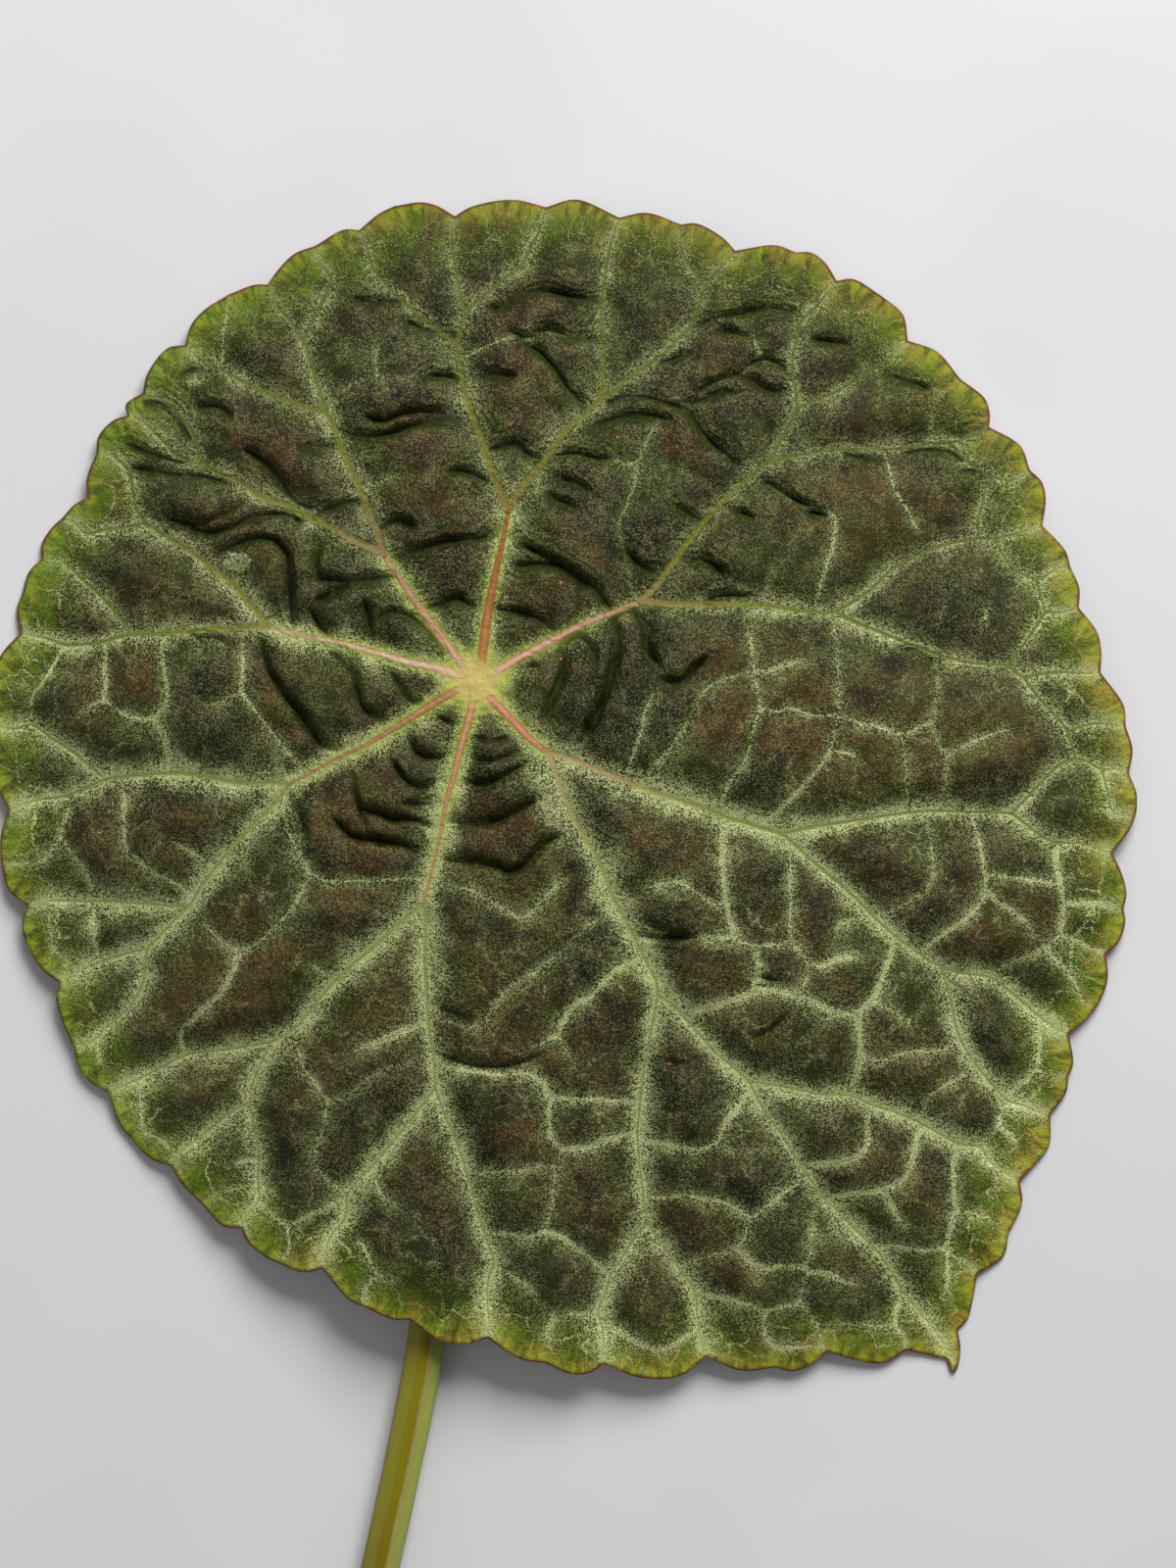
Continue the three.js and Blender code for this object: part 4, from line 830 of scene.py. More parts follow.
@dataclass
class Blade:
    """The blade: a low dome of quilted panels with veins sunk above and ribbed below.

    A pair says where a change starts and how long it goes on, or gives a height and a width.

    Attributes:
        hub_height: Underside at the hub, before the pad.
        margin_average: Angle over which the lobes are averaged out.
        press_waves: Waves that make the folds deeper and shallower.
        rim_inset: How far both faces stop short of the margin, for a rounded rim.
        rim_reach: Share of the margin's reach at which the rim's rows stand.
        rim_shares: Places of the rim's rows, down from the upper face.
        top_rows: Distances of the rows of points beside the upper face's lines.
        rim_clear: Least distance of other points from the rim, in steps.
        line_clear: Least distance of other points from the lines, in steps.
        thin_clear: Side of the squares that hold one other point each, in steps.
        jitter: How far points of the grid are moved, in steps.
        ribs: Height and width of the ribs over each kind of vein.
    """

    lines: Lines
    hub_height: float = 17.5
    dome_power: float = 1.6
    thick_at_hub: float = 1.0
    thick_at_margin: float = 0.7
    steepest: float = 1.7
    arch_height: float = 8.2
    arch_angle: float = 0.36
    wave_height: float = 1.8
    waves: int = 5
    wave_turn: float = 0.6
    margin_average: float = 0.16
    bearings: int = 721
    margin_skip: int = 3
    quilt_height: float = 2.9
    quilt_reach: float = 4.8
    cross_least: float = 0.66
    cross_reach: float = 2.6
    fold_least: float = 0.3
    fold_reach: float = 1.5
    fold_depth: float = 0.6
    fold_width: float = 1.25
    crease_depth: float = 0.5
    crease_width: float = 0.4
    lip_height: float = 0.42
    lip_width: float = 0.95
    press_clear: float = 1.6
    press_waves: Waves = Waves(9, seed=12)
    press_average: float = 0.85
    press_uneven: float = 0.55
    press_range: Pair = (0.35, 1.3)
    press_margin: float = 4.0
    crumple: Crumple = Crumple()
    margin_fade: float = 11.0
    hub_fade: float = 7.0
    pad_radius: float = 3.9
    pad_depth: float = 1.5
    pad_fade: float = 3.0
    rib_fade: float = 7.0
    cord: Pair = (0.22, 0.5)
    cord_rise: Pair = (2, 4)
    cord_fall: Pair = (18, 22)
    side_groove: Pair = (0.16, 0.45)
    cross_groove: Pair = (0.08, 0.5)
    groove_fade: float = 2.0
    rim_inset: float = 0.16
    rim_reach: float = 0.9996
    rim_shares: Pair = (0.28, 0.72)
    lowest_top: float = 0.3
    highest: float = 20.58
    top_step: float = 0.83
    top_rows: tuple[float, ...] = (0.4, 0.95)
    under_step: float = 1.3
    under_rows: tuple[float, ...] = (0.75,)
    route_clear: float = 0.35
    rim_clear: float = 0.45
    line_clear: float = 0.42
    thin_clear: float = 0.55
    merged: float = 1e-5
    least_area: float = 1e-7
    row_gap: float = 0.87
    jitter: float = 0.16
    seed: int = 2
    ribs: dict[str, Pair] = field(
        default_factory=lambda: {"main": (1.5, 1.3), "side": (0.9, 1.0), "cross": (0.35, 0.8)}
    )

    def round_reach(self, points: Points) -> np.ndarray:
        """Reach of the blade in the directions of some points, with its lobes averaged out.

        Args:
            points: Plan points.

        Returns:
            One reach for each point.
        """
        bearings = np.linspace(-math.pi, math.pi, self.bearings)
        coarse = self.lines.margin[::self.margin_skip]
        spots = np.arctan2(coarse[:, 1], coarse[:, 0])
        shares = bell(turn_between(spots, bearings[:, None]) / self.margin_average)
        reaches = (shares * np.linalg.norm(coarse, axis=1)).sum(1) / shares.sum(1)
        return np.interp(np.arctan2(points[:, 1], points[:, 0]), bearings, reaches)

    def stalk_angle(self) -> float:
        """Direction in which the stalk passes under the margin."""
        x, y = on_plan(STALK_ROUTE)[0]
        return math.atan2(y, x)

    def level(self, points: Points, far: Distances) -> np.ndarray:
        """Height of the underside between its ribs, with its unevenness.

        Args:
            points: Plan points.
            far: Distances to the drawn lines.

        Returns:
            One height for each point.
        """
        reach = np.linalg.norm(points, axis=1)
        angle = np.arctan2(points[:, 1], points[:, 0])
        out = np.maximum(0, reach - self.pad_radius) / (self.round_reach(points) - self.pad_radius)
        arch = self.arch_height * bell(turn_between(angle, self.stalk_angle()) / self.arch_angle)
        wave = self.wave_height * (1 + np.cos(self.waves * angle + self.wave_turn)) / 2
        dome = self.hub_height * (1 - out**self.dome_power) + np.maximum(arch, wave) * out**2
        vein = np.minimum(far["main"], far["side"])
        over_cross = self.cross_least + (1 - self.cross_least) * (1 - bell(far["cross"] / self.cross_reach))
        over_fold = self.fold_least + (1 - self.fold_least) * (1 - bell(far["fold"] / self.fold_reach))
        quilt = self.quilt_height * (1 - bell(vein / self.quilt_reach)) * over_cross * over_fold
        fade = smooth(far["margin"] / self.margin_fade) * smooth((reach - self.pad_radius) / self.hub_fade)
        valley = self.fold_depth * bell(far["fold"] / self.fold_width)
        press = valley + self.crease_depth * np.exp(-far["fold"] / self.crease_width)
        press -= self.lip_height * bell(far["lip"] / self.lip_width)
        uneven = self.press_average + self.press_uneven * self.press_waves.at(points)
        press *= smooth(vein / self.press_clear) * np.clip(uneven, *self.press_range)
        press *= smooth(far["margin"] / self.press_margin)
        return np.maximum(0, dome) + quilt * fade - press + self.crumple.at(points, far)

    def rib_depth(self, points: Points, far: Distances) -> np.ndarray:
        """Depth of the ribs and of the hub's pad under the underside.

        Args:
            points: Plan points.
            far: Distances to the drawn lines.

        Returns:
            One depth for each point.
        """
        edge = smooth(far["margin"] / self.rib_fade)
        reach = np.linalg.norm(points, axis=1)
        depth = self.pad_depth * (1 - smooth((reach - self.pad_radius) / self.pad_fade))
        for name, (height, width) in self.ribs.items():
            depth = np.maximum(depth, height * edge * bell(far[name] / width))
        return depth

    def sheet(self, step: float, beside: tuple[float, ...]) -> Sheet:
        """Triangles over the plan, with the veins and folds as edges.

        Args:
            step: Spacing of the points.
            beside: Distances of the rows that run along the main and side veins and the folds.

        Returns:
            The sheet.
        """
        rim = self.inset_margin()
        points = [rim]
        edges = [(index, (index + 1) % len(rim)) for index in range(len(rim))]
        count = len(rim)
        rows = []
        for name, routes in self.lines.routes.items():
            for route in routes:
                spaced = evenly(route, step)
                kept = self.well_inside(spaced, self.route_clear)
                runs = np.flatnonzero(kept[:-1] & kept[1:])
                edges.extend((count + start, count + start + 1) for start in runs)
                points.append(spaced)
                count += len(spaced)
                if name in ("main", "side", "fold"):
                    sideways = left_of(np.gradient(spaced, axis=0))
                    rows.extend(spaced + side * width * sideways for width in beside for side in (-1, 1))
        extra = np.vstack([*rows, self.fill(step)])
        extra = extra[self.well_inside(extra, self.rim_clear * step)]
        for name in self.lines.routes:
            extra = extra[distance_to(*self.lines.pieces(name), extra) > self.line_clear * step]
        extra = self.thinned(extra, self.thin_clear * step)
        every = np.vstack([*points, extra])
        made = geometry.delaunay_2d_cdt([Vector(point) for point in every], edges, [], 1, self.merged)
        corners = np.array([vertex[:] for vertex in made[0]])
        faces = np.array([face for face in made[2] if len(face) == 3])
        plan, faces = self.cleaned(corners, faces)
        return Sheet(plan, faces, self.lines.distances(plan), self.rim_loop(faces))

    def inset_margin(self) -> Points:
        """The margin moved in by the rim's inset, counter-clockwise."""
        before, after = (np.roll(self.lines.margin, places, axis=0) for places in (1, -1))
        return self.lines.margin + left_of(after - before) * self.rim_inset

    def well_inside(self, points: Points, clear: float) -> np.ndarray:
        """Which points lie inside the inset margin and clear of it."""
        away = distance_to(*self.lines.pieces("margin"), points) > clear + self.rim_inset
        return self.lines.inside(points) & away

    def fill(self, step: float) -> Points:
        """A staggered grid of points over the blade.

        Args:
            step: Spacing of the grid.

        Returns:
            Plan points, some of them outside the margin.
        """
        low, high = self.lines.margin.min(0), self.lines.margin.max(0)
        columns, rows = np.arange(low[0], high[0], step), np.arange(low[1], high[1], step * self.row_gap)
        x, y = np.meshgrid(columns, rows)
        shift = (np.arange(len(x)) % 2)[:, None] * step / 2
        grid = np.column_stack([(x + shift).ravel(), y.ravel()])
        return grid + np.random.default_rng(self.seed).uniform(-self.jitter, self.jitter, grid.shape) * step

    def thinned(self, points: Points, clear: float) -> Points:
        """Drops points that share a small square with an earlier one."""
        _, first = np.unique(np.floor(points / clear).astype(int), axis=0, return_index=True)
        return points[np.sort(first)]

    def cleaned(self, corners: Points, faces: np.ndarray) -> tuple[Points, np.ndarray]:
        """Turns every triangle counter-clockwise and drops points that no triangle uses.

        Args:
            corners: Plan points.
            faces: Triangles.

        Returns:
            The points and the triangles.
        """
        a, b, c = (corners[faces[:, place]] for place in range(3))
        turned = (b - a)[:, 0] * (c - a)[:, 1] - (b - a)[:, 1] * (c - a)[:, 0]
        faces = np.where(turned[:, None] < 0, faces[:, [0, 2, 1]], faces)[np.abs(turned) > self.least_area]
        used = np.unique(faces)
        place = np.zeros(len(corners), int)
        place[used] = np.arange(len(used))
        return corners[used], place[faces]

    def rim_loop(self, faces: np.ndarray) -> np.ndarray:
        """Points of the outer edge in counter-clockwise order.

        Args:
            faces: Triangles, counter-clockwise.

        Returns:
            The indices of the points.
        """
        known = set(map(tuple, sides_of(faces)))
        following = {a: b for a, b in known if (b, a) not in known}
        loop = [min(following)]
        while following[loop[-1]] != loop[0]:
            loop.append(following[loop[-1]])
        return np.array(loop)

    def build(self, place: Points) -> bpy.types.Object:
        """Makes the blade's mesh: top, underside and rounded rim in one closed piece.

        Args:
            place: The hub in the frame, in millimetres.

        Returns:
            The blade's object.
        """
        top, under = self.sheet(self.top_step, self.top_rows), self.sheet(self.under_step, self.under_rows)
        level = self.level(top.plan, top.far)
        upper = self.upper(top, level)
        lower = np.maximum(0, self.level(under.plan, under.far) - self.rib_depth(under.plan, under.far))
        start = np.argmin(np.linalg.norm(under.plan[under.loop] - top.plan[top.loop[0]], axis=1))
        under_loop = np.roll(under.loop, -start)
        outer = self.margin_beside(top.plan[top.loop])
        high, low = upper[top.loop], lower[under_loop]
        rings = [np.column_stack([outer, high + (low - high) * share]) for share in self.rim_shares]
        points = np.vstack([np.column_stack([top.plan, upper]), np.column_stack([under.plan, lower]), *rings])
        points[:, :2] += place
        first_under = len(top.plan)
        first_ring = first_under + len(under.plan)
        ring = np.arange(len(outer))
        strips = [top.loop, first_ring + ring, first_ring + len(ring) + ring, under_loop + first_under]
        walls = [
            list(map(int, quad))
            for above, below in zip(strips, strips[1:])
            for quad in zip(below, np.roll(below, -1), np.roll(above, -1), above)
        ]
        sides = {
            Side.TOP: top.faces.tolist(),
            Side.UNDER: (under.faces[:, ::-1] + first_under).tolist(),
            Side.RIM: walls,
        }
        every = [face for faces in sides.values() for face in faces]
        blade = new_object("leaf_blade_fine", points * MM, every)
        slots = [side.value for side, faces in sides.items() for _ in faces]
        blade.data.polygons.foreach_set("material_index", np.array(slots, np.int32))
        rim_far = {**self.lines.distances(outer), "margin": np.zeros(len(outer))}
        parts = (top.far, under.far, rim_far, rim_far)
        for name in rim_far:
            store(blade, f"to_{name}", np.concatenate([far[name] for far in parts]))
        elsewhere = np.zeros(len(points) - len(level))
        store(blade, "rise", np.concatenate([self.rise(level, top.faces), elsewhere]))
        store(blade, "from_hub", np.linalg.norm(np.vstack([top.plan, under.plan, outer, outer]), axis=1))
        return blade

    def upper(self, top: Sheet, level: np.ndarray) -> np.ndarray:
        """Heights of the upper face: a wall over the underside, with cords and sunk veins.

        Args:
            top: The upper face.
            level: Height of the underside at its points.

        Returns:
            One height for each point.
        """
        reach = np.linalg.norm(top.plan, axis=1)
        wall = self.thickness(top.plan) * self.steepness(top.plan, level, top.faces)
        cord = self.cord[0] * bell(top.far["main"] / self.cord[1])
        cord = cord * (1 - ramp(reach, *self.cord_fall)) * ramp(reach, *self.cord_rise)
        grooves = ((self.side_groove, top.far["side"]), (self.cross_groove, top.far["cross"]))
        groove = sum(depth * bell(far / width) for (depth, width), far in grooves)
        heights = level + wall + cord - groove * smooth(top.far["margin"] / self.groove_fade)
        return np.clip(heights, self.lowest_top, self.highest)

    def rise(self, heights: np.ndarray, faces: np.ndarray, rounds: int = 12) -> np.ndarray:
        """How far each point stands over its wider neighbourhood.

        Args:
            heights: Heights of the points.
            faces: Triangles.
            rounds: How many times the heights are averaged with their neighbours'.

        Returns:
            One rise for each point, below 0 in hollows.
        """
        a, b = sides_of(faces).T
        size = len(heights)
        count = np.bincount(a, minlength=size) + np.bincount(b, minlength=size)
        held = heights
        for _ in range(rounds):
            total = np.bincount(a, held[b], size) + np.bincount(b, held[a], size)
            held = total / count
        return heights - held

    def margin_beside(self, loop: Points) -> Points:
        """Points of the margin that some points of the inset margin came from, a hair inside it."""
        off = self.inset_margin() - loop[:, None]
        return self.lines.margin[(off**2).sum(2).argmin(1)] * self.rim_reach

    def thickness(self, points: Points) -> np.ndarray:
        """Wall thickness at plan points, from the hub's to the margin's."""
        out = smooth(np.linalg.norm(points, axis=1) / self.round_reach(points))
        return self.thick_at_hub + (self.thick_at_margin - self.thick_at_hub) * out

    def steepness(self, plan: Points, heights: np.ndarray, faces: np.ndarray) -> np.ndarray:
        """How much longer the wall is along Z than along its normal.

        Args:
            plan: Plan points.
            heights: Heights of the points.
            faces: Triangles.

        Returns:
            One factor for each point, 1 where the blade is level.
        """
        points = np.column_stack([plan, heights])
        a, b, c = (points[faces[:, place]] for place in range(3))
        flat = np.cross(b - a, c - a)
        normals = np.zeros_like(points)
        for place in range(3):
            np.add.at(normals, faces[:, place], flat)
        return np.minimum(self.steepest, np.linalg.norm(normals, axis=1) / np.maximum(normals[:, 2], 1e-9))


def new_object(name: str, points: Points, faces: list) -> bpy.types.Object:
    """Makes a smooth-shaded mesh object in the scene.

    Args:
        name: Name of the object.
        points: Vertices in metres.
        faces: Corner indices of each face.

    Returns:
        The object.
    """
    mesh = bpy.data.meshes.new(name)
    mesh.from_pydata([tuple(point) for point in points], [], faces)
    mesh.polygons.foreach_set("use_smooth", [True] * len(mesh.polygons))
    mesh.update()
    piece = bpy.data.objects.new(name, mesh)
    bpy.context.scene.collection.objects.link(piece)
    return piece


def vertices_of(piece: bpy.types.Object) -> Points:
    """Reads the vertices of a piece, in metres."""
    return np.array([vertex.co for vertex in piece.data.vertices], float)


def store(piece: bpy.types.Object, name: str, values: np.ndarray) -> None:
    """Keeps one number for each vertex under a name, for the materials to read."""
    attribute = piece.data.attributes.new(name, "FLOAT", "POINT")
    attribute.data.foreach_set("value", values.astype(np.float32))


@dataclass
class Stalk:
    """The stalk: out of the hub, round a bend, then along the table to a slanted cut.

    Attributes:
        flat_angle: Half of the angle that the flat underside takes up.
        swells: Height, length and phase of the slow swellings along it.
        cap_shares: Sizes of the rings on the cut face.
        joint: How far the top stands above the solid's, into the blade's pad.
    """

    blade: Blade
    radius: float = 2.82
    ridge: float = 0.14
    ridges: int = 5
    sides: int = 50
    flat_angle: float = 0.39
    pressed: float = 0.05
    neck_growth: float = 0.75
    neck_length: float = 7.0
    bend_radius: float = 12.2
    bend_steps: int = 26
    run_step: float = 1.1
    cut_slant: float = 0.5
    swells: tuple[tuple[float, float, float], ...] = ((0.05, 9, 0), (0.03, 3.7, 1))
    swell_from: Pair = (-1.2, 2)
    cap_shares: tuple[float, ...] = (0.9, 0.6, 0.3)
    cap_depth: float = 0.25
    cap_aim: tuple[float, float, float] = (-0.1, 1.0, 0.0)
    joint_gap: float = 0.3
    joint: float = 0.25

    def stations(self) -> list[tuple[Points, float, float]]:
        """Points of the centre line with their pitch and heading.

        Returns:
            Tuples of a point, the pitch below level and the heading, in radians.
        """
        start = self.blade.hub_height - self.blade.pad_depth - self.joint_gap
        lie = self.radius * math.cos(self.flat_angle) - self.pressed
        drop = start - lie - self.bend_radius
        heading = self.blade.stalk_angle()
        ahead = np.array([math.cos(heading), math.sin(heading)])
        found = [(np.array([0, 0, start + self.joint]), math.pi / 2, heading)]
        for step in range(self.bend_steps + 1):
            turned = step / self.bend_steps * math.pi / 2
            out = ahead * self.bend_radius * (1 - math.cos(turned))
            height = start - drop - self.bend_radius * math.sin(turned)
            found.append((np.array([*out, height]), math.pi / 2 - turned, heading))
        route = smooth_line(np.vstack([found[-1][0][:2], on_plan(STALK_ROUTE)]), self.run_step)
        headings = np.unwrap(np.arctan2(*np.gradient(route, axis=0).T[::-1]))
        for point, turn in zip(route[1:], headings[1:]):
            found.append((np.array([*point, lie]), 0.0, float(turn)))
        return found

    def build(self, place: Points) -> bpy.types.Object:
        """Makes the stalk's mesh with a domed cut face.

        Args:
            place: The hub in the frame, in millimetres.

        Returns:
            The stalk's object.
        """
        stations = self.stations()
        top = stations[0][0][2]
        turns = np.linspace(self.flat_angle, 2 * math.pi - self.flat_angle, self.sides) - math.pi / 2
        rings, around, along = [], [], []
        walked = 0.0
        before = stations[0][0]
        for index, (centre, pitch, heading) in enumerate(stations):
            walked += float(np.linalg.norm(centre - before))
            before = centre
            widen = self.neck_growth * (1 - smooth((top - centre[2]) / self.neck_length))
            ridge = self.ridge * np.cos(self.ridges * (turns - math.pi / 2))
            ridge[[0, -1]] = 0
            swell = sum(height * math.sin(walked / length + phase) for height, length, phase in self.swells)
            swollen = np.clip((turns - self.swell_from[0]) / self.swell_from[1], 0, 1)
            radius = self.radius + widen + ridge + swell * swollen
            slant = self.cut_slant if index == len(stations) - 1 else 0
            rings.append(self.ring(centre, pitch, heading, turns, radius, slant))
            around.append(turns)
            along.append(np.full(self.sides, walked))
        caps = [self.cap(rings[-1], share) for share in self.cap_shares]
        points = np.vstack([*rings, *caps, rings[-1].mean(0)[None], rings[0].mean(0)[None]])
        faces = []
        loops = len(rings) + len(caps)
        for loop in range(loops - 1):
            for side in range(self.sides):
                a, b = loop * self.sides + side, loop * self.sides + (side + 1) % self.sides
                faces.append((a, a + self.sides, b + self.sides, b))
        last = (loops - 1) * self.sides
        centre_cut, centre_top = loops * self.sides, loops * self.sides + 1
        for side in range(self.sides):
            following = (side + 1) % self.sides
            faces.append((last + side, centre_cut, last + following))
            faces.append((side, following, centre_top))
        points[:, :2] += place
        stalk = new_object("leaf_stalk_fine", points * MM, faces)
        slots = [0] * (len(rings) - 1) * self.sides + [1] * len(caps) * self.sides + [1, 0] * self.sides
        stalk.data.polygons.foreach_set("material_index", np.array(slots, np.int32))
        tail = np.zeros(len(caps) * self.sides + 2)
        store(stalk, "around", np.concatenate([*around, tail]))
        store(stalk, "along", np.concatenate([*along, tail + walked]))
        shares = np.repeat([1.0] * len(rings) + list(self.cap_shares), self.sides)
        store(stalk, "across_cut", np.concatenate([shares, [0, 0]]))
        return stalk

    def ring(self, centre: Points, pitch: float, heading: float, turns: np.ndarray,
             radius: np.ndarray, slant: float) -> Points:
        """One ring of points round the centre line.

        Args:
            centre: Point of the centre line.
            pitch: Pitch below level, in radians.
            heading: Heading on the plan, in radians.
            turns: Angles round the stalk.
            radius: Radius at each of them.
            slant: Lean of the ring, as length for each unit of height.

        Returns:
            The ring's points.
        """
        across, up = radius * np.cos(turns), radius * np.sin(turns)
        forward = up * math.sin(pitch) - up * slant
        return np.column_stack([
            centre[0] + math.cos(heading) * forward + math.sin(heading) * across,
            centre[1] + math.sin(heading) * forward - math.cos(heading) * across,
            np.maximum(0, centre[2] + up * math.cos(pitch)),
        ])

    def cap(self, ring: Points, share: float) -> Points:
        """A smaller ring on the cut face, domed a little towards its middle."""
        middle = ring.mean(0)
        return middle + (ring - middle) * share + np.array(self.cap_aim) * self.cap_depth * (1 - share**2)


def tint(*screen: float) -> tuple[float, ...]:
    """Turns a screen colour of 0 to 255 into the linear one, with an alpha of 1, that shaders take."""
    shares = np.array(screen) / 255
    return (*np.where(shares <= 0.04045, shares / 12.92, ((shares + 0.055) / 1.055) ** 2.4).tolist(), 1.0)


def sum_of(operation: str) -> Callable[["Value", object], "Value"]:
    """Makes the method of a value that does one kind of sum with another value or a constant."""
    return lambda value, other: value.graph.math(operation, value, other)


class Value:
    """A number, colour or direction that changes over a surface, with the sums that finishes need."""

    def __init__(self, graph: "Graph", socket: Socket) -> None:
        """Keeps the graph that its sums go into and the output that gives it."""
        self.graph = graph
        self.socket = socket

    __mul__, __truediv__, __add__, __sub__ = map(sum_of, ("MULTIPLY", "DIVIDE", "ADD", "SUBTRACT"))

    def __rsub__(self, other: float) -> "Value":
        """What is left of a constant."""
        return self.graph.math("SUBTRACT", other, self)

    def graded(self, gain: float, start: object) -> "Value":
        """The value by a gain, from a start."""
        return self.graph.math("MULTIPLY_ADD", self, gain, start)

    def span(self, start: float, end: float, low: object = 0.0, high: object = 1.0) -> "Value":
        """Goes smoothly from low, where the value is the start, to high, where it is the end."""
        inputs = {"Value": self, "From Min": start, "From Max": end, "To Min": low, "To Max": high}
        return self.graph.value("ShaderNodeMapRange", inputs, "Result", interpolation_type="SMOOTHSTEP")

    def scaled(self, gain: object) -> "Value":
        """The colour or position by a gain."""
        return self.graph.value("ShaderNodeVectorMath", {0: self, "Scale": gain}, operation="SCALE")


class Graph:
    """Short calls that add linked nodes to one shader tree."""

    def __init__(self, tree: bpy.types.NodeTree) -> None:
        """Starts on a tree."""
        self.tree = tree

    def put(self, socket: Socket, value: object) -> None:
        """Links a socket, or sets its constant.

        Args:
            socket: Input socket.
            value: A value of the graph, or a constant.
        """
        if isinstance(value, Value):
            self.tree.links.new(value.socket, socket)
        else:
            socket.default_value = value

    def add(self, kind: str, inputs: dict[object, object], **settings: object) -> bpy.types.Node:
        """Adds a node.

        Args:
            kind: Type name of the node.
            inputs: Values or constants by input name or place.
            **settings: Settings of the node itself.

        Returns:
            The node.
        """
        node = self.tree.nodes.new(kind)
        for name, value in settings.items():
            setattr(node, name, value)
        for name, value in inputs.items():
            self.put(node.inputs[name], value)
        return node

    def value(self, kind: str, inputs: dict[object, object], output: object = 0, **settings: object) -> Value:
        """Adds a node and gives one of its outputs."""
        return Value(self, self.add(kind, inputs, **settings).outputs[output])

    def math(self, operation: str, *values: object) -> Value:
        """Adds a math node."""
        return self.value("ShaderNodeMath", dict(enumerate(values)), operation=operation)

    def most(self, *values: Value) -> Value:
        """Greatest of some values."""
        return reduce(lambda first, second: self.math("MAXIMUM", first, second), values)

    def joined(self, *parts: object) -> Value:
        """Makes a position of its parts."""
        return self.value("ShaderNodeCombineXYZ", dict(enumerate(parts)))

    def mix(self, share: object, first: object, second: object) -> Value:
        """Mixes two colours."""
        return self.value("ShaderNodeMix", {0: share, 6: first, 7: second}, 2, data_type="RGBA")

    def cells(self, place: Value, scale: object) -> tuple[Value, Value]:
        """Reads cells that lie irregularly.

        Args:
            place: Position.
            scale: Cells for each millimetre.

        Returns:
            The distance to the middle of the nearest cell, and a number drawn for that cell.
        """
        inputs = {"Vector": place, "Scale": scale}
        cells = self.add("ShaderNodeTexVoronoi", inputs, voronoi_dimensions="2D")
        drawn = self.value("ShaderNodeSeparateColor", {0: Value(self, cells.outputs["Color"])})
        return Value(self, cells.outputs["Distance"]), drawn

    def edges(self, place: Value, scale: float) -> Value:
        """Distance to the edges of such cells."""
        settings = {"feature": "DISTANCE_TO_EDGE", "voronoi_dimensions": "2D"}
        return self.value("ShaderNodeTexVoronoi", {"Vector": place, "Scale": scale}, "Distance", **settings)


class Effects:
    """Effects that several finishes share, as node groups that give masks."""

    def __init__(self) -> None:
        """Builds the groups."""
        self.near = self.make_near()
        self.papillae = self.make_papillae()
        self.blotches = self.make_blotches()

    @staticmethod
    def start(name: str, inputs: str, outputs: str) -> tuple[Graph, list[Value], bpy.types.Node]:
        """Starts a group.

        Args:
            name: Name of the group.
            inputs: Names of the inputs: Place is a position, the others are numbers.
            outputs: Names of the outputs, all of them numbers.

        Returns:
            The graph, its inputs as values, and the node that takes its outputs.
        """
        tree = bpy.data.node_groups.new(name, "ShaderNodeTree")
        for side, labels in (("INPUT", inputs), ("OUTPUT", outputs)):
            for label in labels.split():
                kind = "NodeSocketVector" if label == "Place" else "NodeSocketFloat"
                tree.interface.new_socket(label, in_out=side, socket_type=kind)
        graph = Graph(tree)
        given = graph.add("NodeGroupInput", {})
        values = [Value(graph, given.outputs[label]) for label in inputs.split()]
        return graph, values, graph.add("NodeGroupOutput", {})

    def make_near(self) -> bpy.types.NodeTree:
        """Mask that is 1 on a line and falls off with the distance from it.

        Returns:
            The group.
        """
        graph, (distance, width, power), result = self.start("near_line", "Distance Width Power", "Mask")
        fall = graph.math("POWER", graph.math("ABSOLUTE", distance / width), power) * -1.0
        graph.put(result.inputs["Mask"], graph.math("EXPONENT", fall))
        return graph.tree

    def make_papillae(self) -> bpy.types.NodeTree:
        """Tiny domes, of which a share is pale.

        Returns:
            The group.
        """
        graph, (place, size, cover), result = self.start("papillae", "Place Size Cover", "Mask Height")
        distance, drawn = graph.cells(place, graph.math("DIVIDE", 1.0, size))
        dome = distance.span(0.66, 0.2)
        graph.put(result.inputs["Mask"], (cover - drawn).span(-0.06, 0.14) * dome)
        graph.put(result.inputs["Height"], dome)
        return graph.tree

    def make_blotches(self) -> bpy.types.NodeTree:
        """Soft blotches over a share of the surface.

        Returns:
            The group.
        """
        graph, (place, size, cover), result = self.start("blotches", "Place Size Cover", "Mask")
        inputs = {"Vector": place, "Scale": graph.math("DIVIDE", 1.0, size), "Detail": 3.0, "Roughness": 0.55}
        noise = graph.value("ShaderNodeTexNoise", inputs, noise_dimensions="2D")
        level = graph.value("ShaderNodeMapRange", {"Value": cover, "To Min": 0.66, "To Max": 0.34}, "Result")
        graph.put(result.inputs["Mask"], (noise - level).span(-0.09, 0.09))
        return graph.tree


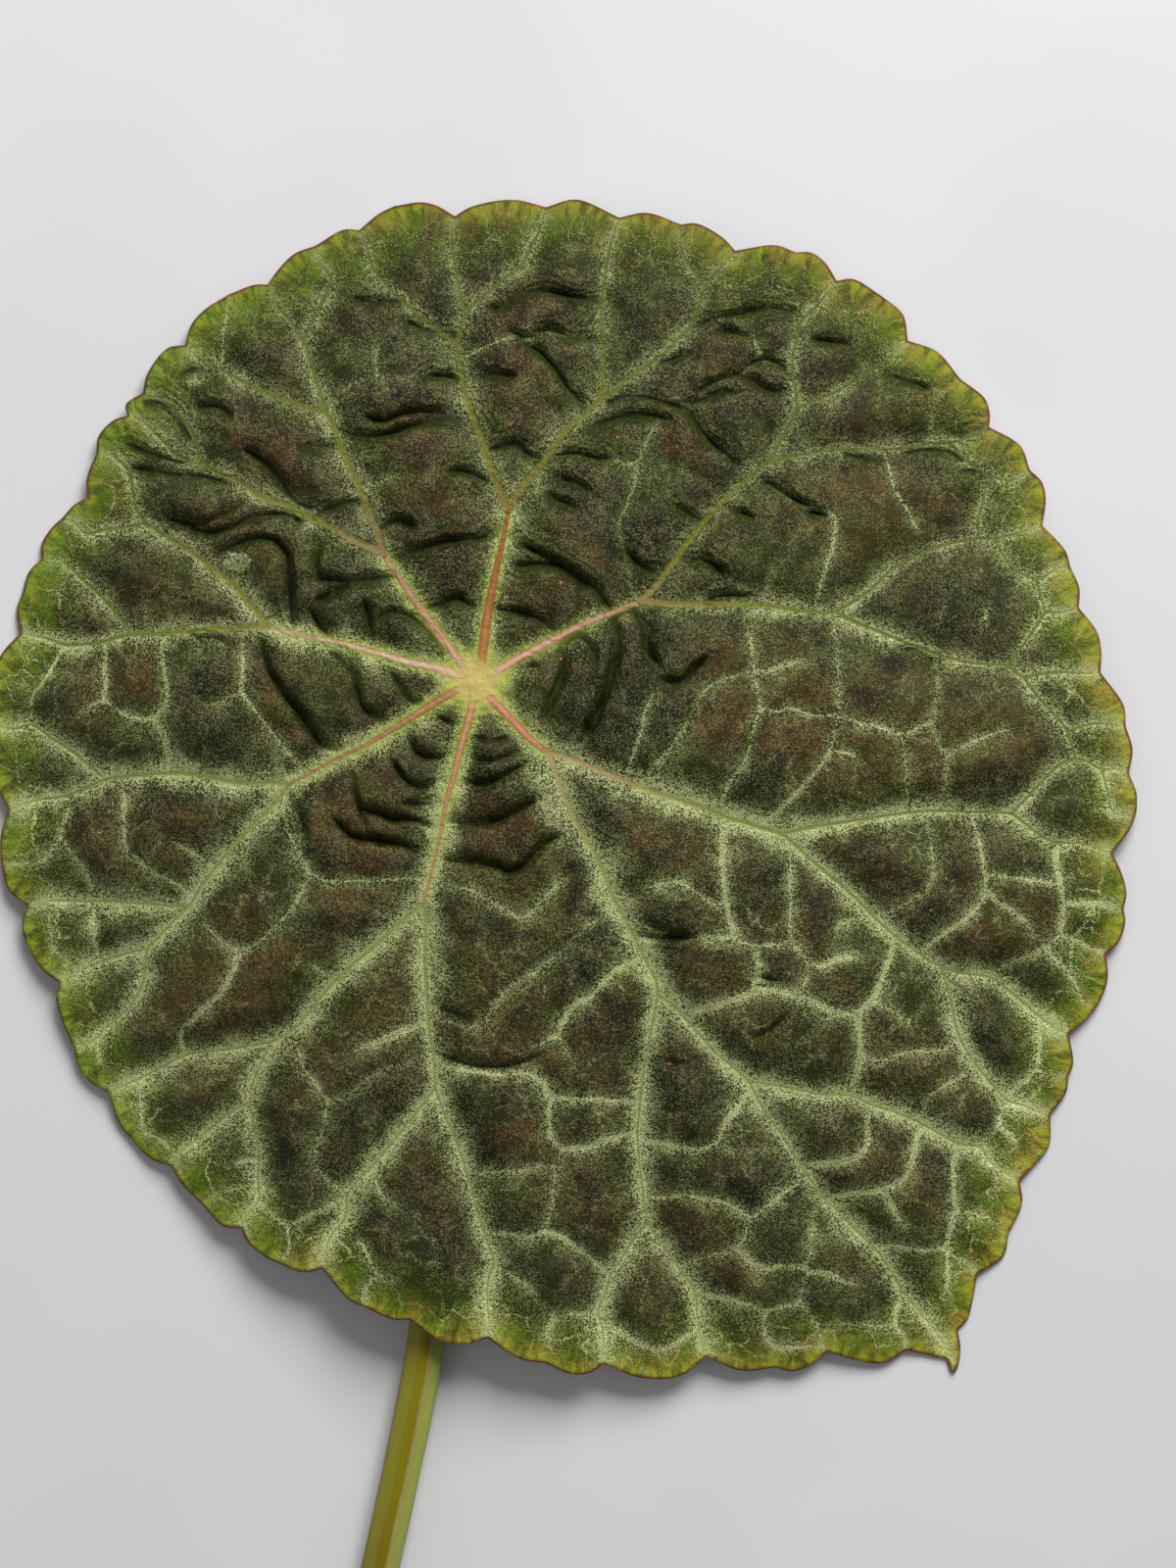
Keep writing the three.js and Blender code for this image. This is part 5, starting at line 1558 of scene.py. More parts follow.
class Skin(Graph):
    """The graph of one material, with the shared effects and the position in millimetres."""

    def __init__(self, tree: bpy.types.NodeTree, effects: Effects) -> None:
        """Starts on a material's tree.

        Args:
            tree: The tree.
            effects: Shared effects.
        """
        super().__init__(tree)
        self.effects = effects
        self.place = self.value("ShaderNodeTexCoord", {}, "Object").scaled(1 / MM)

    def known(self, name: str, output: str = "Fac") -> Value:
        """Reads a number or a colour kept on the mesh."""
        return self.value("ShaderNodeAttribute", {}, output, attribute_name=name)

    def noise(self, size: float, detail: float = 2.0, rough: float = 0.5, place: Value | None = None,
              axes: str = "2D") -> Value:
        """Noise whose features are about as wide as the given size."""
        inputs = {"Vector": place or self.place, "Scale": 1 / size, "Detail": detail, "Roughness": rough}
        return self.value("ShaderNodeTexNoise", inputs, noise_dimensions=axes)

    def bent(self, place: Value, size: float, reach: float) -> Value:
        """Moves a position by noise.

        Args:
            place: Position.
            size: About how wide the noise's features are.
            reach: About how far it moves the position.

        Returns:
            The moved position.
        """
        inputs = {"Vector": place, "Scale": 1 / size}
        wander = self.value("ShaderNodeTexNoise", inputs, "Color", noise_dimensions="2D")
        off = self.value("ShaderNodeVectorMath", {0: wander, 1: (0.5, 0.5, 0.5)}, operation="SUBTRACT")
        inputs = {0: off, 1: (reach,) * 3, 2: place}
        return self.value("ShaderNodeVectorMath", inputs, operation="MULTIPLY_ADD")

    def near(self, distance: Value, width: object, power: float = 2.0) -> Value:
        """Mask that is 1 on a line and falls off over a width."""
        inputs = {"Distance": distance, "Width": width, "Power": power}
        return self.value("ShaderNodeGroup", inputs, node_tree=self.effects.near)

    def blotches(self, size: float, cover: float) -> Value:
        """Mask of soft blotches over a share of the surface."""
        inputs = {"Place": self.place, "Size": size, "Cover": cover}
        return self.value("ShaderNodeGroup", inputs, node_tree=self.effects.blotches)

    def papillae(self, size: float, cover: object, place: Value | None = None) -> tuple[Value, Value]:
        """Adds tiny domes, of which a share is pale.

        Args:
            size: Width of the domes.
            cover: The pale share.
            place: Position, where it isn't the skin's own.

        Returns:
            Mask of the pale ones, and height of all.
        """
        inputs = {"Place": place or self.place, "Size": size, "Cover": cover}
        domes = self.add("ShaderNodeGroup", inputs, node_tree=self.effects.papillae)
        return Value(self, domes.outputs["Mask"]), Value(self, domes.outputs["Height"])

    def bump(self, height: Value, depth: float, strength: float = 1.0, under: Value | None = None) -> Value:
        """Normal of a relief of a depth in millimetres, over another one if there is one."""
        inputs = {"Height": height, "Distance": depth * MM, "Strength": strength}
        return self.value("ShaderNodeBump", inputs if under is None else {**inputs, "Normal": under})


class Coat:
    """A colour that is painted over in steps."""

    def __init__(self, skin: Skin, ground: object) -> None:
        """Starts with a ground: a colour, or a value of the skin."""
        self.skin = skin
        self.colour = ground if isinstance(ground, Value) else tint(*ground)

    def over(self, colour: object, share: Value) -> None:
        """Paints a colour, or a value of the skin, over a share of it."""
        top = colour if isinstance(colour, Value) else tint(*colour)
        self.colour = self.skin.mix(share, self.colour, top)


class Finish:
    """What every finish does: it paints a skin and makes a material of it."""

    name = ""

    def paint(self, skin: Skin) -> dict[str, object]:
        """Values of the shader's sockets."""
        raise NotImplementedError(self.name)

    def build(self, effects: Effects) -> bpy.types.Material:
        """Makes the material.

        Args:
            effects: Shared effects.

        Returns:
            The material.
        """
        material = bpy.data.materials.new(self.name)
        material.use_nodes = True
        tree = material.node_tree
        tree.nodes.clear()
        skin = Skin(tree, effects)
        surface = skin.add("ShaderNodeBsdfPrincipled", {})
        skin.add("ShaderNodeOutputMaterial", {"Surface": Value(skin, surface.outputs[0])})
        for socket, value in self.paint(skin).items():
            skin.put(surface.inputs[socket], value)
        return material


@dataclass(frozen=True)
class BladeTopFinish(Finish):
    """Dark, velvety panels between veins with a pale stippled glow.

    Attributes:
        panel: Colour of the darkest panels.
        brown: Colour of the bronze middles.
        cord: Gain of the painted highlight along the main veins' crest.
        papilla: Width of the pale dots.
        net: Width of the finest net's meshes.
        fleck_gap: Distance between the places where an orange speck may stand.
    """

    name: str = "blade_top"
    panel: Colour = (28, 28, 11)
    grey: Colour = (46, 45, 24)
    brown: Colour = (70, 46, 18)
    green: Colour = (46, 58, 8)
    fresh: Colour = (78, 94, 8)
    halo: Colour = (84, 92, 36)
    velvet: Colour = (144, 144, 90)
    leafy: Colour = (152, 160, 66)
    dots: Colour = (222, 228, 164)
    near_hub: Colour = (156, 182, 30)
    wedge: Colour = (184, 192, 88)
    hub: Colour = (204, 186, 108)
    # red-brown edges of the main veins: partly their colour, partly painted shade
    flank: Colour = (148, 74, 40)
    vein: Colour = (118, 120, 26)
    far_vein: Colour = (86, 98, 30)
    lit_vein: Colour = (138, 150, 84)
    margin: Colour = (134, 134, 30)
    young: Colour = (100, 126, 26)
    burnt: Colour = (132, 96, 40)
    lime: Colour = (150, 160, 40)
    lush: Colour = (72, 100, 8)
    edge: Colour = (84, 50, 32)
    # painted shadow along the bottoms of the folds
    crease_shadow: Colour = (20, 18, 6)
    # painted shade, dark green, on the flanks of the folds and in the hollows
    groove: Colour = (36, 46, 4)
    fleck: Colour = (188, 106, 74)
    scar: Colour = (186, 198, 136)
    cord: float = 1.35
    papilla: float = 0.166
    net: float = 5.5
    cell_width: float = 6.5
    cell_depth: float = 5.0
    fleck_gap: float = 8.0
    pleat: float = 1.25
    roughness: float = 0.46
    dot_roughness: float = 0.62
    specular: float = 0.14

    def paint(self, skin: Skin) -> dict[str, object]:
        """Values of the shader's sockets."""
        return BladeTopCoat(skin, self).sockets()


class BladeTopCoat(Coat):
    """The blade's upper side while it is painted, from the panels up to the veins."""

    def __init__(self, skin: Skin, hues: BladeTopFinish) -> None:
        """Reads what the blade keeps.

        Args:
            skin: Graph of the material.
            hues: Colours and sizes.
        """
        super().__init__(skin, hues.panel)
        self.hues = hues
        known = skin.known
        self.main, self.side, self.cross = (known(f"to_{name}") for name in ("main", "side", "cross"))
        self.fold, self.margin, self.hub = known("to_fold"), known("to_margin"), known("from_hub")
        self.north, self.raised, self.gleam = known("north"), known("rise"), known("gleam")
        self.west = skin.value("ShaderNodeSeparateXYZ", {0: skin.place}).span(-15, -60)
        # its second factor makes the glow wider away from the lit side, as painted light
        self.uneven = skin.noise(7, 3).span(0.32, 0.68, 0.75, 1.25) * self.north.span(0, 1, 1.24, 0.94)

    def sockets(self) -> dict[str, object]:
        """Paints every layer.

        Returns:
            Values of the shader's sockets.
        """
        self.lay_panels()
        self.lay_margin()
        glow = self.lay_glow(self.lay_cells())
        dots, domes = self.lay_dots(glow)
        self.lay_folds()
        self.lay_spots()
        self.lay_side_veins(self.lay_main_veins())
        hues = self.hues
        sheen = self.skin.blotches(10, 0.5).span(0, 1, hues.roughness - 0.07, hues.roughness + 0.1)
        return {
            # painted light and shade along the margin
            "Base Color": self.colour.scaled(self.skin.known("shade")),
            "Specular IOR Level": hues.specular,
            "Roughness": self.skin.mix(dots, sheen, (*(hues.dot_roughness,) * 3, 1)),
            "Normal": self.relief(domes),
        }

    def lay_panels(self) -> None:
        """Mottled dark panels with bronze middles, greener towards the margin, and painted shade in the
        hollows.
        """
        skin, hues, margin = self.skin, self.hues, self.margin
        self.over(hues.grey, skin.blotches(9, 0.5))
        between = skin.math("MINIMUM", self.main, self.side).span(2.5, 7.5)
        middle = between * (1.0 - skin.near(self.cross, 1.6))
        self.over(hues.brown, skin.blotches(20, 0.48) * middle.span(0, 1, 0.15, 0.62) * margin.span(3, 16))
        clouds = skin.noise(3.4, 5, 0.62).span(0.3, 0.7, 0.7, 1.34)
        wisps = skin.noise(1.1, 3, 0.6).span(0.3, 0.7, 0.84, 1.18)
        self.colour = self.colour.scaled(clouds * wisps * skin.known("tone"))
        self.over(hues.green, margin.span(13, 3) * skin.blotches(9, 0.6).span(0, 1, 0.5, 0.95))
        self.over(hues.green, skin.blotches(13, 0.35) * 0.45)
        # painted shade: dark green in the hollows, where the blade stands below its neighbourhood
        self.over(hues.groove, self.raised.span(-0.04, -0.3) * self.hub.span(60, 30, 0.3, 0.6))

    def lay_margin(self) -> None:
        """Fresh green lobes with a lighter band along the edge, burnt spots and streaks."""
        skin, hues, margin = self.skin, self.hues, self.margin
        self.over(hues.fresh, margin.span(7, 1.5) * skin.blotches(7, 0.55).span(0, 1, 0.25, 0.9))
        band = margin / skin.noise(9, 3).span(0.35, 0.65, 1.6, 4.6)
        edged = skin.mix(self.west, tint(*hues.margin), tint(*hues.young))
        self.over(edged, band.span(1.0, 0.1, 0.0, 0.85))
        spots = skin.most(skin.blotches(8.5, 0.26), skin.blotches(2.6, 0.3))
        self.over(hues.burnt, margin.span(5.5, 1.0) * spots * self.west.graded(-0.4, 0.6))
        streak = skin.noise(1.6, 4, 0.6, skin.joined(skin.known("course"), margin * 0.25))
        self.over(hues.green, margin.span(6, 1.5) * streak.span(0.5, 0.36) * 0.7)
        self.over(hues.lime, margin.span(4.5, 0.6) * streak.span(0.5, 0.64) * 0.6)

    def lay_cells(self) -> Value:
        """Lush green and brown cells along the margin.

        Returns:
            The glow of the lines between them.
        """
        skin, hues, margin = self.skin, self.hues, self.margin
        place = skin.joined(skin.known("course") * (1 / hues.cell_width), margin * (1 / hues.cell_depth))
        place = skin.bent(place, 0.7, 0.5)
        border = skin.edges(place, 1.0)
        _, kind = skin.cells(place, 1.0)
        inside = border.span(0.05, 0.3) * margin.span(10, 5) * margin.span(0.8, 2.5)
        self.over(hues.lush, inside * kind.span(0.4, 0.6) * self.west.graded(0.35, 0.45))
        self.over(hues.brown, inside * kind.span(0.3, 0.15) * 0.45)
        return border.span(0.075, 0.0) * margin.span(9, 6) * margin.span(0.8, 2.5) * 0.4

    def lay_glow(self, rimmed: Value) -> Value:
        """Paler skin beside the veins: a wide glow and a narrow core beside each kind, with painted shade on
        the lit side and painted sheen in the gleam's pools.

        Args:
            rimmed: Glow of the lines between the margin's cells.

        Returns:
            The strength of the glow.
        """
        skin, hub, north, uneven = self.skin, self.hub, self.north, self.uneven
        main_width = uneven * hub.span(22, 42, 2.1, 1.45) * north.span(0, 1, 0.84, 1.24)
        glow = skin.most(
            skin.near(self.main, main_width, 1.45) * 0.8,
            skin.near(self.side, uneven * hub.span(22, 60, 2.6, 1.9), 1.4) * 0.58,
            skin.near(self.side, uneven * 0.75, 1.6) * 0.9,
            skin.near(self.cross, uneven * 1.45, 1.4) * hub.span(35, 70, 0.33, 0.4),
            skin.near(self.cross, uneven * 0.5, 1.5) * hub.span(35, 70, 0.65, 0.84),
        )
        net = skin.edges(skin.bent(skin.place, 3.0, 4.0), 1 / self.hues.net)
        netted = net.span(0.11, 0.0, 0.0, skin.blotches(9, 0.5).span(0, 1, 0.03, 0.22)) * hub.span(25, 50)
        glow = skin.most(glow, netted, rimmed) * skin.blotches(12, 0.6).span(0, 1, 0.76, 1.0)
        # painted shade and sheen: weaker on the lit side, stronger on the far side, raised or lowered in the
        # gleam's pools
        glow = glow * self.margin.span(0.1, 0.8) * north.span(0, 1, 1.24, 0.7) * self.gleam
        self.over(self.hues.halo, glow * 0.8)
        return glow

    def lay_dots(self, glow: Value) -> tuple[Value, Value]:
        """Pale dots, close together in the glow, sparse on the panels, and thicker on raised ridges, partly
        as a painted highlight.

        Args:
            glow: Strength of the glow.

        Returns:
            Mask of the dots, and height of the tiny domes.
        """
        skin, hues, hub, margin = self.skin, self.hues, self.hub, self.margin
        grain = skin.noise(4, 5, 0.6).span(0.32, 0.68, 0.05, 0.36) * hub.span(12, 42, 0.6, 1.0)
        # more pale dots on raised ridges: partly the leaf's dots, partly a painted highlight
        ridge_dots_and_highlight = self.raised.span(0.02, 0.26) * hub.span(60, 25, 0.04, 0.13)
        outer = margin.span(7, 1, 0.0, 0.2) * self.north.span(0, 0.6, 0.4, 1.0)
        cover = glow * 0.76 + grain + (ridge_dots_and_highlight + outer)
        fine, domes = skin.papillae(hues.papilla, cover)
        wide, _ = skin.papillae(hues.papilla * 1.4, cover * 0.6)
        dots = skin.most(fine, wide * 0.75)
        dot = Coat(skin, hues.velvet)
        dot.over(hues.leafy, margin.span(12, 2))
        dot.over(hues.dots, glow.span(0.0, 0.6))
        self.over(dot.colour, dots * glow.span(0, 0.6, 0.66, 0.94) * margin.span(1, 6, 0.6, 1.0))
        return dots, domes

    def lay_folds(self) -> None:
        """Painted shade in the folds: dark green on their flanks, and a darker painted shadow along their
        bottoms.
        """
        skin, hub, north = self.skin, self.hub, self.north
        # painted shadow: near-black along the bottom of each fold
        crease_shadow_mask = skin.near(self.fold, self.uneven * 0.25) * hub.span(6, 12) * skin.blotches(5, 0.6)
        crease_shadow_mask = crease_shadow_mask * north.span(0.1, 0.7, 0.65, 1.0)
        # painted shade: dark green on the side of each fold towards the hub
        inner = (skin.known("to_lip") - self.fold).span(0.1, 0.9, 0.2, 1.0)
        groove_shade_mask = skin.near(self.fold, self.uneven * 1.15, 3.5) * hub.span(4, 10) * inner
        groove_shade_mask = groove_shade_mask * north.span(0.1, 0.7, 0.4, 0.9) * skin.blotches(4, 0.6).span(0, 1, 0.5, 1.0)
        self.over(self.hues.groove, groove_shade_mask)
        self.over(self.hues.crease_shadow, crease_shadow_mask * 0.95)

    def lay_spots(self) -> None:
        """Orange specks, the healed spot and the brown edge."""
        skin, hues = self.skin, self.hues
        distance, drawn = skin.cells(skin.place, 1 / hues.fleck_gap)
        self.over(hues.fleck, distance.span(0.035, 0.022) * drawn.span(0.1, 0.08) * 0.8)
        ragged = skin.noise(1.1, 4, 0.65).graded(1.1, skin.known("scar"))
        crumbs = skin.noise(0.45, 3, 0.6).span(0.42, 0.56, 0.15, 1.0)
        self.over(hues.scar, ragged.span(2.0, 2.3) * crumbs * 0.85)
        self.over(hues.edge, self.margin.span(0.6, 0.2) * skin.blotches(6, 0.7).span(0, 1, 0.35, 0.9))

    def lay_main_veins(self) -> Value:
        """The main veins in their tints, with green skin beside them and the pale hub between; painted shade
        darkens them towards the lit side, their red-brown edges are partly their colour and partly painted
        shade, and a painted highlight runs along their crest.

        Returns:
            The colour of the nearest main vein.
        """
        skin, hues, main, hub, north = self.skin, self.hues, self.main, self.hub, self.north
        beside = skin.near(main, 1.05) * hub.span(34, 6, 0.22, 0.78) * hub.span(46, 24)
        # painted shade: less of this green where the gleam's pools are low
        self.over(hues.near_hub, beside * self.gleam.span(0.6, 1.0, 0.3, 1.0))
        self.over(hues.wedge, self.uneven * hub.span(6.7, 3.0) * 0.8)
        width = hub.span(3, 26, 0.66, 0.28) * north.span(0.2, 1, 0.95, 1.35)
        warm = (main / width).span(1.2, 0.75) * hub.span(0.6, 2.6, 0.1, 0.95)
        # painted shade: the vein's tint darker towards the lit side, a little lighter away from it
        tinted = skin.known("vein_tint", "Color").scaled(north.span(0.4, 1, 1.1, 0.66))
        self.over(tinted, warm)
        # red-brown edges: partly the veins' colour, partly painted shade for a rounded look
        flank = skin.near(main / width - 0.8, 0.24)
        self.over(hues.flank, flank * hub.span(44, 14) * hub.span(2.5, 7) * 0.5)
        # painted highlight: a lighter line along the crest
        ridge = skin.near(main, 0.22) * hub.span(30, 6, 0.0, 0.75) * hub.span(1.5, 4)
        self.over(tinted.scaled(hues.cord), ridge)
        self.over(hues.hub, hub.span(4.3, 2.3) * (1.0 - warm * hub.span(1.4, 4.5, 0, 0.5)) * 0.92)
        return tinted

    def lay_side_veins(self, tinted: Value) -> None:
        """The side veins with painted shade in dark green along their flanks, their line painted darker on
        the lit side and paler away from it, and the thread of the cross veins.

        Args:
            tinted: Colour of the nearest main vein.
        """
        skin, hues, side, hub, north = self.skin, self.hues, self.side, self.hub, self.north
        half = hub.span(22, 75, 0.34, 0.15) * north.span(0, 1, 0.9, 1.5)
        line = Coat(skin, tinted)
        line.over(hues.vein, hub.span(18, 40))
        line.over(hues.far_vein, hub.span(36, 62))
        # painted light: a paler line away from the lit side
        line.over(hues.lit_vein, north.span(0.55, 0.1, 0.0, 0.65))
        # painted shade: dark green along both flanks of each side vein
        beside = skin.near(side / half - 1.3, 0.4) * self.margin.span(2, 7) * north.span(0, 1, 0.25, 0.5)
        self.over(hues.green, beside)
        thin = (side / half).span(1.4, 0.5) * self.margin.span(0.8, 5, 0.3, 0.9)
        # painted shade: the line darker towards the lit side
        self.over(line.colour.scaled(north.span(0.45, 0.95, 1.06, 0.74)), thin)
        self.over(hues.far_vein, self.cross.span(0.18, 0.07) * 0.4)

    def relief(self, domes: Value) -> Value:
        """Grain of the skin, pleats beside the folds, and the tiny domes.

        Args:
            domes: Height of the domes.

        Returns:
            The normal.
        """
        skin, fold = self.skin, self.fold
        grain = skin.bump(skin.noise(1.5, 5, 0.68), 0.42, 0.9)
        grain = skin.bump(skin.noise(0.55, 3, 0.6), 0.12, 0.7, grain)
        phase = fold * (2 * math.pi / self.hues.pleat) + skin.noise(4, 3) * 14.0
        pleats = skin.math("SINE", phase) * skin.near(fold, 3.4) * fold.span(0.3, 0.9)
        pleats = pleats * self.north.span(0.2, 0.7, 0.35, 1.0)
        return skin.bump(domes, 0.05, 0.8, skin.bump(pleats, 0.09, 1.0, grain))


@dataclass(frozen=True)
class BladeUnderFinish(Finish):
    """Pale green underside, flushed with wine red round the ribs."""

    name: str = "blade_under"
    ground: Colour = (142, 150, 104)
    flush: Colour = (134, 62, 58)
    rib: Colour = (176, 150, 112)
    roughness: float = 0.52

    def paint(self, skin: Skin) -> dict[str, object]:
        """Paints the flush, the ribs and the cells of the skin.

        Args:
            skin: Graph of the material.

        Returns:
            Values of the shader's sockets.
        """
        main, side, cross = (skin.known(f"to_{name}") for name in ("main", "side", "cross"))
        vein = skin.math("MINIMUM", main, side)
        mottled = skin.noise(5, 5, 0.62).span(0.3, 0.7, 0.72, 1.15)
        coat = Coat(skin, self.ground)
        coat.over(self.flush, vein.span(0.8, 6) * skin.blotches(20.0, 0.5).span(0, 1, 0.52, 0.84) * mottled)
        coat.over(self.rib, skin.most(skin.near(cross, 0.5) * 0.6, skin.near(vein, 0.9)) * 0.8)
        cells, domes = skin.papillae(0.5, 0.35)
        coat.over(self.rib, cells * 0.2)
        normal = skin.bump(domes, 0.05, 0.5, skin.bump(skin.noise(1.2, 4, 0.6), 0.2, 0.5))
        return {"Base Color": coat.colour, "Roughness": self.roughness, "Normal": normal}


@dataclass(frozen=True)
class RimFinish(Finish):
    """Red-brown rim with crimson stretches."""

    name: str = "blade_rim"
    brown: Colour = (108, 56, 46)
    crimson: Colour = (170, 26, 50)
    green: Colour = (122, 120, 56)
    roughness: float = 0.45

    def paint(self, skin: Skin) -> dict[str, object]:
        """Paints bare green and crimson stretches over the brown.

        Args:
            skin: Graph of the material.

        Returns:
            Values of the shader's sockets.
        """
        coat = Coat(skin, self.brown)
        coat.over(self.green, skin.blotches(12.0, 0.3) * 0.6)
        coat.over(self.crimson, skin.blotches(8.0, 0.22) * 0.8)
        _, domes = skin.papillae(0.3, 0.3)
        return {"Base Color": coat.colour, "Roughness": self.roughness, "Normal": skin.bump(domes, 0.05, 0.5)}


@dataclass(frozen=True)
class StalkFinish(Finish):
    """Smooth skin in lengthwise bands: olive, deep olive, a soft red line, tan and pale green."""

    name: str = "stalk_skin"
    # darker brown sides: partly the skin's colour, partly painted shade
    edge: Colour = (84, 62, 24)
    olive: Colour = (136, 134, 42)
    deep: Colour = (126, 118, 2)
    red: Colour = (126, 88, 40)
    tan: Colour = (150, 146, 80)
    pale: Colour = (148, 156, 70)
    bronze: Colour = (116, 96, 40)
    deep_bronze: Colour = (104, 76, 2)
    dry: Colour = (144, 138, 84)
    roughness: float = 0.36
    specular: float = 0.22

    def paint(self, skin: Skin) -> dict[str, object]:
        """Paints the bands round the stalk, browner towards its cut, with darker sides that are partly its
        skin and partly painted shade.

        Args:
            skin: Graph of the material.

        Returns:
            Values of the shader's sockets.
        """
        around, along = skin.known("around"), skin.known("along")
        turn = skin.math("COSINE", around)
        coords = skin.joined(turn, skin.math("SINE", around), along * 0.03)
        streaks = skin.noise(0.22, 3, 0.55, coords, "3D")
        share = turn.graded(-0.5, 0.5) + streaks.span(0.3, 0.7, -0.025, 0.025)
        old = along.span(125, 160)
        kinds = (
            (self.olive, self.bronze, 0.75),
            (self.deep, self.deep_bronze, 0.85),
            (self.pale, self.dry, 0.8),
        )
        left, middle, right = (skin.mix(old * most, tint(*young), tint(*aged)) for young, aged, most in kinds)
        coat = Coat(skin, left)
        coat.over(middle, share.span(0.26, 0.4))
        coat.over(self.tan, share.span(0.55, 0.68))
        coat.over(right, share.span(0.68, 0.84))
        coat.over(self.red, skin.near(share - 0.58, 0.05) * streaks.span(0.3, 0.6, 0.2, 0.5))
        # darker brown along both sides of the stalk: partly its skin, partly painted shade
        coat.over(self.edge, skin.most(share.span(0.07, 0.0), share.span(0.95, 1.0, 0.0, 0.5)) * 0.75)
        flecked = coat.colour.scaled(skin.noise(0.05, 4, 0.7, coords, "3D").span(0.35, 0.7, 0.9, 1.1))
        normal = skin.bump(skin.noise(0.09, 3, 0.6, coords, "3D"), 0.12, 0.5)
        return {"Base Color": flecked, "Roughness": self.roughness, "Specular IOR Level": self.specular,
                "Normal": normal}


@dataclass(frozen=True)
class CutFinish(Finish):
    """Moist pale flesh of the cut, with a ring of vessels under the skin."""

    name: str = "stalk_cut"
    flesh: Colour = (190, 196, 132)
    ring: Colour = (138, 150, 70)
    roughness: float = 0.3

    def paint(self, skin: Skin) -> dict[str, object]:
        """Paints the ring of vessels and the skin's edge.

        Args:
            skin: Graph of the material.

        Returns:
            Values of the shader's sockets.
        """
        out = skin.known("across_cut")
        parts = skin.add("ShaderNodeSeparateXYZ", {0: skin.place})
        facing = skin.joined(Value(skin, parts.outputs["X"]), Value(skin, parts.outputs["Z"]))
        cells, domes = skin.papillae(0.45, 0.4, facing)
        coat = Coat(skin, self.flesh)
        coat.over(self.ring, skin.near(out - 0.72, 0.12) * cells.span(0, 1, 0.4, 1))
        coat.over(self.ring, out.span(0.9, 1.0))
        return {"Base Color": coat.colour, "Roughness": self.roughness, "Normal": skin.bump(domes, 0.08, 0.5)}


@dataclass(frozen=True)
class FloorFinish(Finish):
    """Plain pale table."""

    name: str = "table_top"
    ground: Colour = (212, 212, 214)
    darker: float = 0.985
    roughness: float = 0.95
    specular: float = 0.05

    def paint(self, skin: Skin) -> dict[str, object]:
        """Paints faint, wide blotches.

        Args:
            skin: Graph of the material.

        Returns:
            Values of the shader's sockets.
        """
        coat = Coat(skin, self.ground)
        coat.over(tuple(value * self.darker for value in self.ground), skin.blotches(120.0, 0.5))
        return {"Base Color": coat.colour, "Roughness": self.roughness, "Specular IOR Level": self.specular}


@dataclass
class Studio:
    """Table, soft lights and the camera that looks straight down.

    Attributes:
        aim: Point on the plan below the camera, from the hub, in millimetres.
        distance: Height of the camera over the table, in millimetres.
    """

    aim: tuple[float, float] = (16.8, -15.45)
    distance: float = 902.0
    lens: float = 135.0
    far_clip: float = 10.0
    table_half: float = 1.6
    key_place: tuple[float, float, float] = (0.32, 0.85, 0.75)
    key_size: float = 0.7
    key_power: float = 19.0
    fill_place: tuple[float, float, float] = (-0.8, -0.5, 0.7)
    fill_size: float = 1.0
    fill_power: float = 1.5
    air: tuple[float, float, float, float] = (1.0, 0.99, 0.97, 1)
    air_strength: float = 0.2

    def build(self, place: Points, effects: Effects) -> None:
        """Sets the stage.

        Args:
            place: The hub in the frame, in millimetres.
            effects: Shared effects.
        """
        half = self.table_half
        corners = np.array([(-half, -half, 0), (half, -half, 0), (half, half, 0), (-half, half, 0)])
        table = new_object("table_top", corners, [(0, 1, 2, 3)])
        table.data.materials.append(FloorFinish().build(effects))
        table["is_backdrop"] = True
        self.light("key_softbox", self.key_place, self.key_size, self.key_power)
        self.light("fill_softbox", self.fill_place, self.fill_size, self.fill_power)
        world = bpy.data.worlds.new("studio_air")
        world.use_nodes = True
        air = world.node_tree.nodes["Background"]
        air.inputs["Color"].default_value = self.air
        air.inputs["Strength"].default_value = self.air_strength
        bpy.context.scene.world = world
        camera = bpy.data.objects.new("camera", bpy.data.cameras.new("camera"))
        camera.data.lens = self.lens
        camera.data.clip_end = self.far_clip
        x, y = (place + self.aim) * MM
        camera.location = (x, y, self.distance * MM)
        bpy.context.scene.collection.objects.link(camera)
        bpy.context.scene.camera = camera
        bpy.context.scene.view_settings.view_transform = "Standard"

    def light(self, name: str, spot: tuple[float, float, float], size: float, power: float) -> None:
        """Adds a square softbox that faces the leaf.

        Args:
            name: Name of the light.
            spot: Its place in metres.
            size: Its side in metres.
            power: Its power in watts.
        """
        lamp = bpy.data.lights.new(name, "AREA")
        lamp.size = size
        lamp.energy = power
        softbox = bpy.data.objects.new(name, lamp)
        softbox.location = spot
        softbox.rotation_euler = (-Vector(spot)).to_track_quat("-Z", "Y").to_euler()
        bpy.context.scene.collection.objects.link(softbox)


